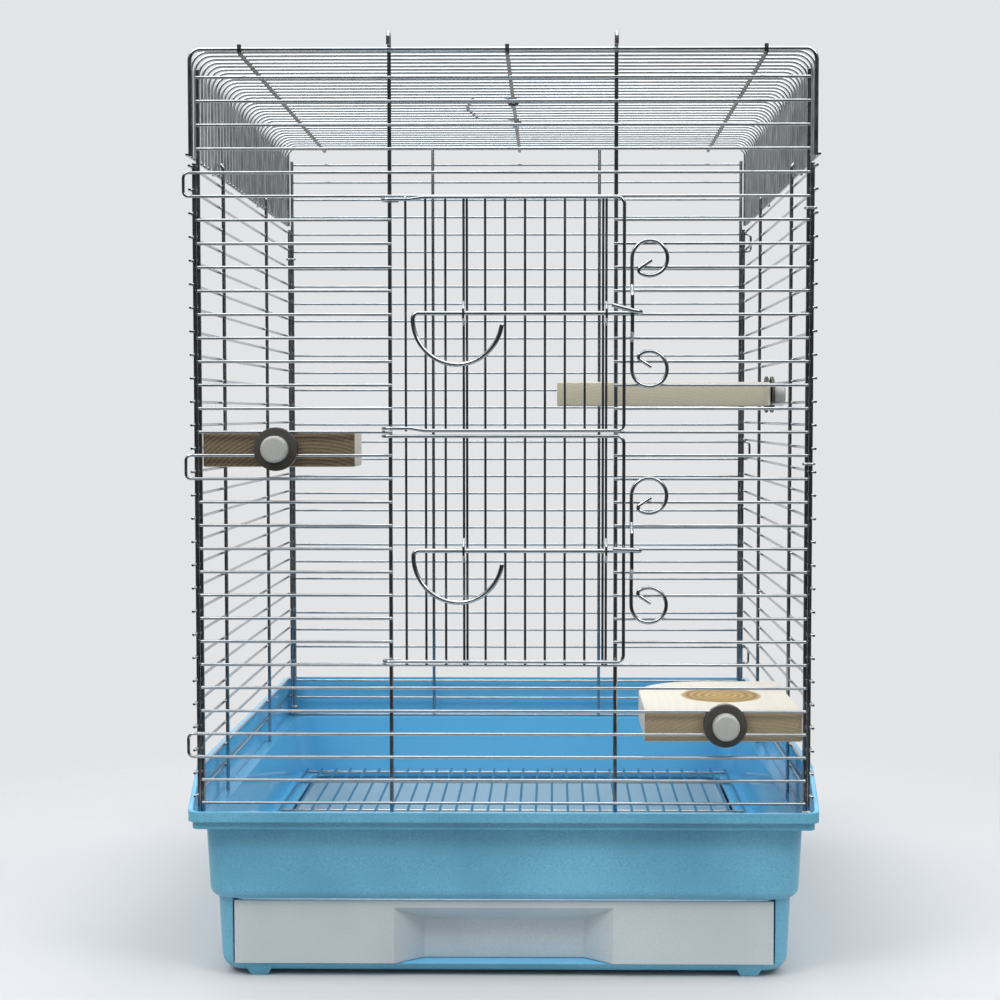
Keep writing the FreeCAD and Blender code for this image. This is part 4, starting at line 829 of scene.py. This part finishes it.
LEDGES = {
    "left_front_ledge": ((-174.9, -86.5), (-196.26, -101.26), (303.7, 323.8), {(1, 1): 58.0}, dark_ended),
    "right_front_ledge": ((83.0, 175.0), (-196.26, -72.76), (142.6, 160.9), {(0, 1): 44.0}, knotted),
    "right_side_ledge": ((32.0, 177.98), (-6.0, 74.0), (340.2, 356.4),
                         {(1, 1): 8.0, (1, 0): 8.0, (0, 1): 8.0}, plain),
}

for node, (x, y, z, corners, material) in LEDGES.items():
    board = mesh_object(node + "_sawn", plank(x, y, z, corners), material)
    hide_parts(node)
    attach(board, "cage")


# ---- Ledge fasteners ---------------------------------------------------------------
# A hanger bolt stands out of each ledge between the wires. It is held by a dark
# rubbery washer with a thin bright back on each side, and by a smooth cap nut.
GRIP_FACES = (("front", Vector((-132.0, 0, 314.2))), ("front", Vector((129.8, 0, 152.8))),
              ("side", Vector((0, 34.0, 348.3))))
WASHER_RADIUS, WASHER_THICKNESS, WASHER_LIP, WASHER_EDGE = 12.7, 2.0, 0.7, 0.3
NUT_RADIUS, NUT_LENGTH, NUT_DOME, NUT_EDGE, NUT_SOCKET = 7.8, 8.0, 1.8, 0.4, 5.5
BOLT_RADIUS, SEAT = 2.55, 0.02
FRONT_INNER, FRONT_OUTER = -198.28, -200.12
SIDE_INNER, SIDE_OUTER = 180.0, 181.84


def turned(bm, profile, matrix, metal_rim=None):
    """Spins a profile of (radius, height) round Z, then places it.

    The outer edge up to the height metal_rim takes the second material.
    """
    verts = [bm.verts.new((r * MM, 0, h * MM)) for r, h in profile]
    edges = [bm.edges.new(pair) for pair in zip(verts, verts[1:])]
    bmesh.ops.spin(bm, geom=verts + edges, cent=(0, 0, 0), axis=Z, angle=2 * math.pi, steps=48,
                   use_merge=True)
    # Faces of the pieces made before carry a tag.
    fresh = list({vert for face in bm.faces if not face.tag for vert in face.verts})
    for face in bm.faces:
        if not face.tag:
            middle = face.calc_center_median()
            low = metal_rim and middle.z < metal_rim * MM and middle.xy.length > 0.9 * WASHER_RADIUS * MM
            face.material_index = 1 if low else 0
            face.tag = True
    bmesh.ops.remove_doubles(bm, verts=fresh, dist=0.002 * MM)
    fresh = [vert for vert in fresh if vert.is_valid]
    bmesh.ops.transform(bm, matrix=matrix, verts=fresh)


def face_matrix(panel, centre, depth, outwards):
    """Stands a turned piece on a panel, its +Z pointing out of or into the cage."""
    if panel == "front":
        turn = Matrix.Rotation(math.radians(90 if outwards else -90), 4, "X")
        return Matrix.Translation(Vector((centre.x, depth, centre.z)) * MM) @ turn
    turn = Matrix.Rotation(math.radians(90 if outwards else -90), 4, "Y")
    return Matrix.Translation(Vector((depth, centre.y, centre.z)) * MM) @ turn


def quarter_round(radius, height, lip):
    """The softened outer edge of a turned piece, from its side to its top."""
    angles = [math.radians(15 * step) for step in range(6, -1, -1)]
    return [(radius - lip + lip * math.sin(a), height - lip + lip * math.cos(a)) for a in angles]


# Filled rubber is nearly black and dull. The cap nut is a light grey nylon with a soft sheen.
dark_elastomer = finish_plastic("dark_elastomer", "#4a4842", "#3b3934", 0.8, 0.55, 0.05, 0.3)
light_cap_plastic = finish_plastic("light_cap_plastic", "#b9bab6", "#a8a9a4", 0.8, 0.3, 0.03, 0.3)

washer_profile = [(BOLT_RADIUS, 0.0), (WASHER_RADIUS - WASHER_EDGE, 0.0), (WASHER_RADIUS, WASHER_EDGE),
                  *quarter_round(WASHER_RADIUS, WASHER_THICKNESS, WASHER_LIP),
                  (BOLT_RADIUS, WASHER_THICKNESS)]
cap_profile = [(0.0, NUT_SOCKET), (BOLT_RADIUS, NUT_SOCKET), (BOLT_RADIUS, 0.0), (NUT_RADIUS - NUT_EDGE, 0.0),
               (NUT_RADIUS, NUT_EDGE), *quarter_round(NUT_RADIUS, NUT_LENGTH, NUT_DOME), (0.0, NUT_LENGTH)]
inner, outer, caps = bmesh.new(), bmesh.new(), bmesh.new()
for panel, centre in GRIP_FACES:
    near, far = (FRONT_INNER, FRONT_OUTER) if panel == "front" else (SIDE_INNER, SIDE_OUTER)
    turned(inner, washer_profile, face_matrix(panel, centre, near, False), WASHER_LIP)
    turned(outer, washer_profile, face_matrix(panel, centre, far, True), WASHER_LIP)
    nut_at = far + (-1 if panel == "front" else 1) * (WASHER_THICKNESS + SEAT)
    turned(caps, cap_profile, face_matrix(panel, centre, nut_at, True))

backed_rubber = (dark_elastomer, bright_zinc)
for node, slot, bm, materials in (("ledge_inner_washers", "washer_plastic", inner, backed_rubber),
                                  ("ledge_outer_washers", "washer_plastic", outer, backed_rubber),
                                  ("ledge_cap_nuts", "cap_plastic", caps, (light_cap_plastic,))):
    piece = mesh_object(node + "_turned", bm, *materials)
    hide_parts(node)
    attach(piece, "cage")
paint("ledge_bolts", bright_zinc)
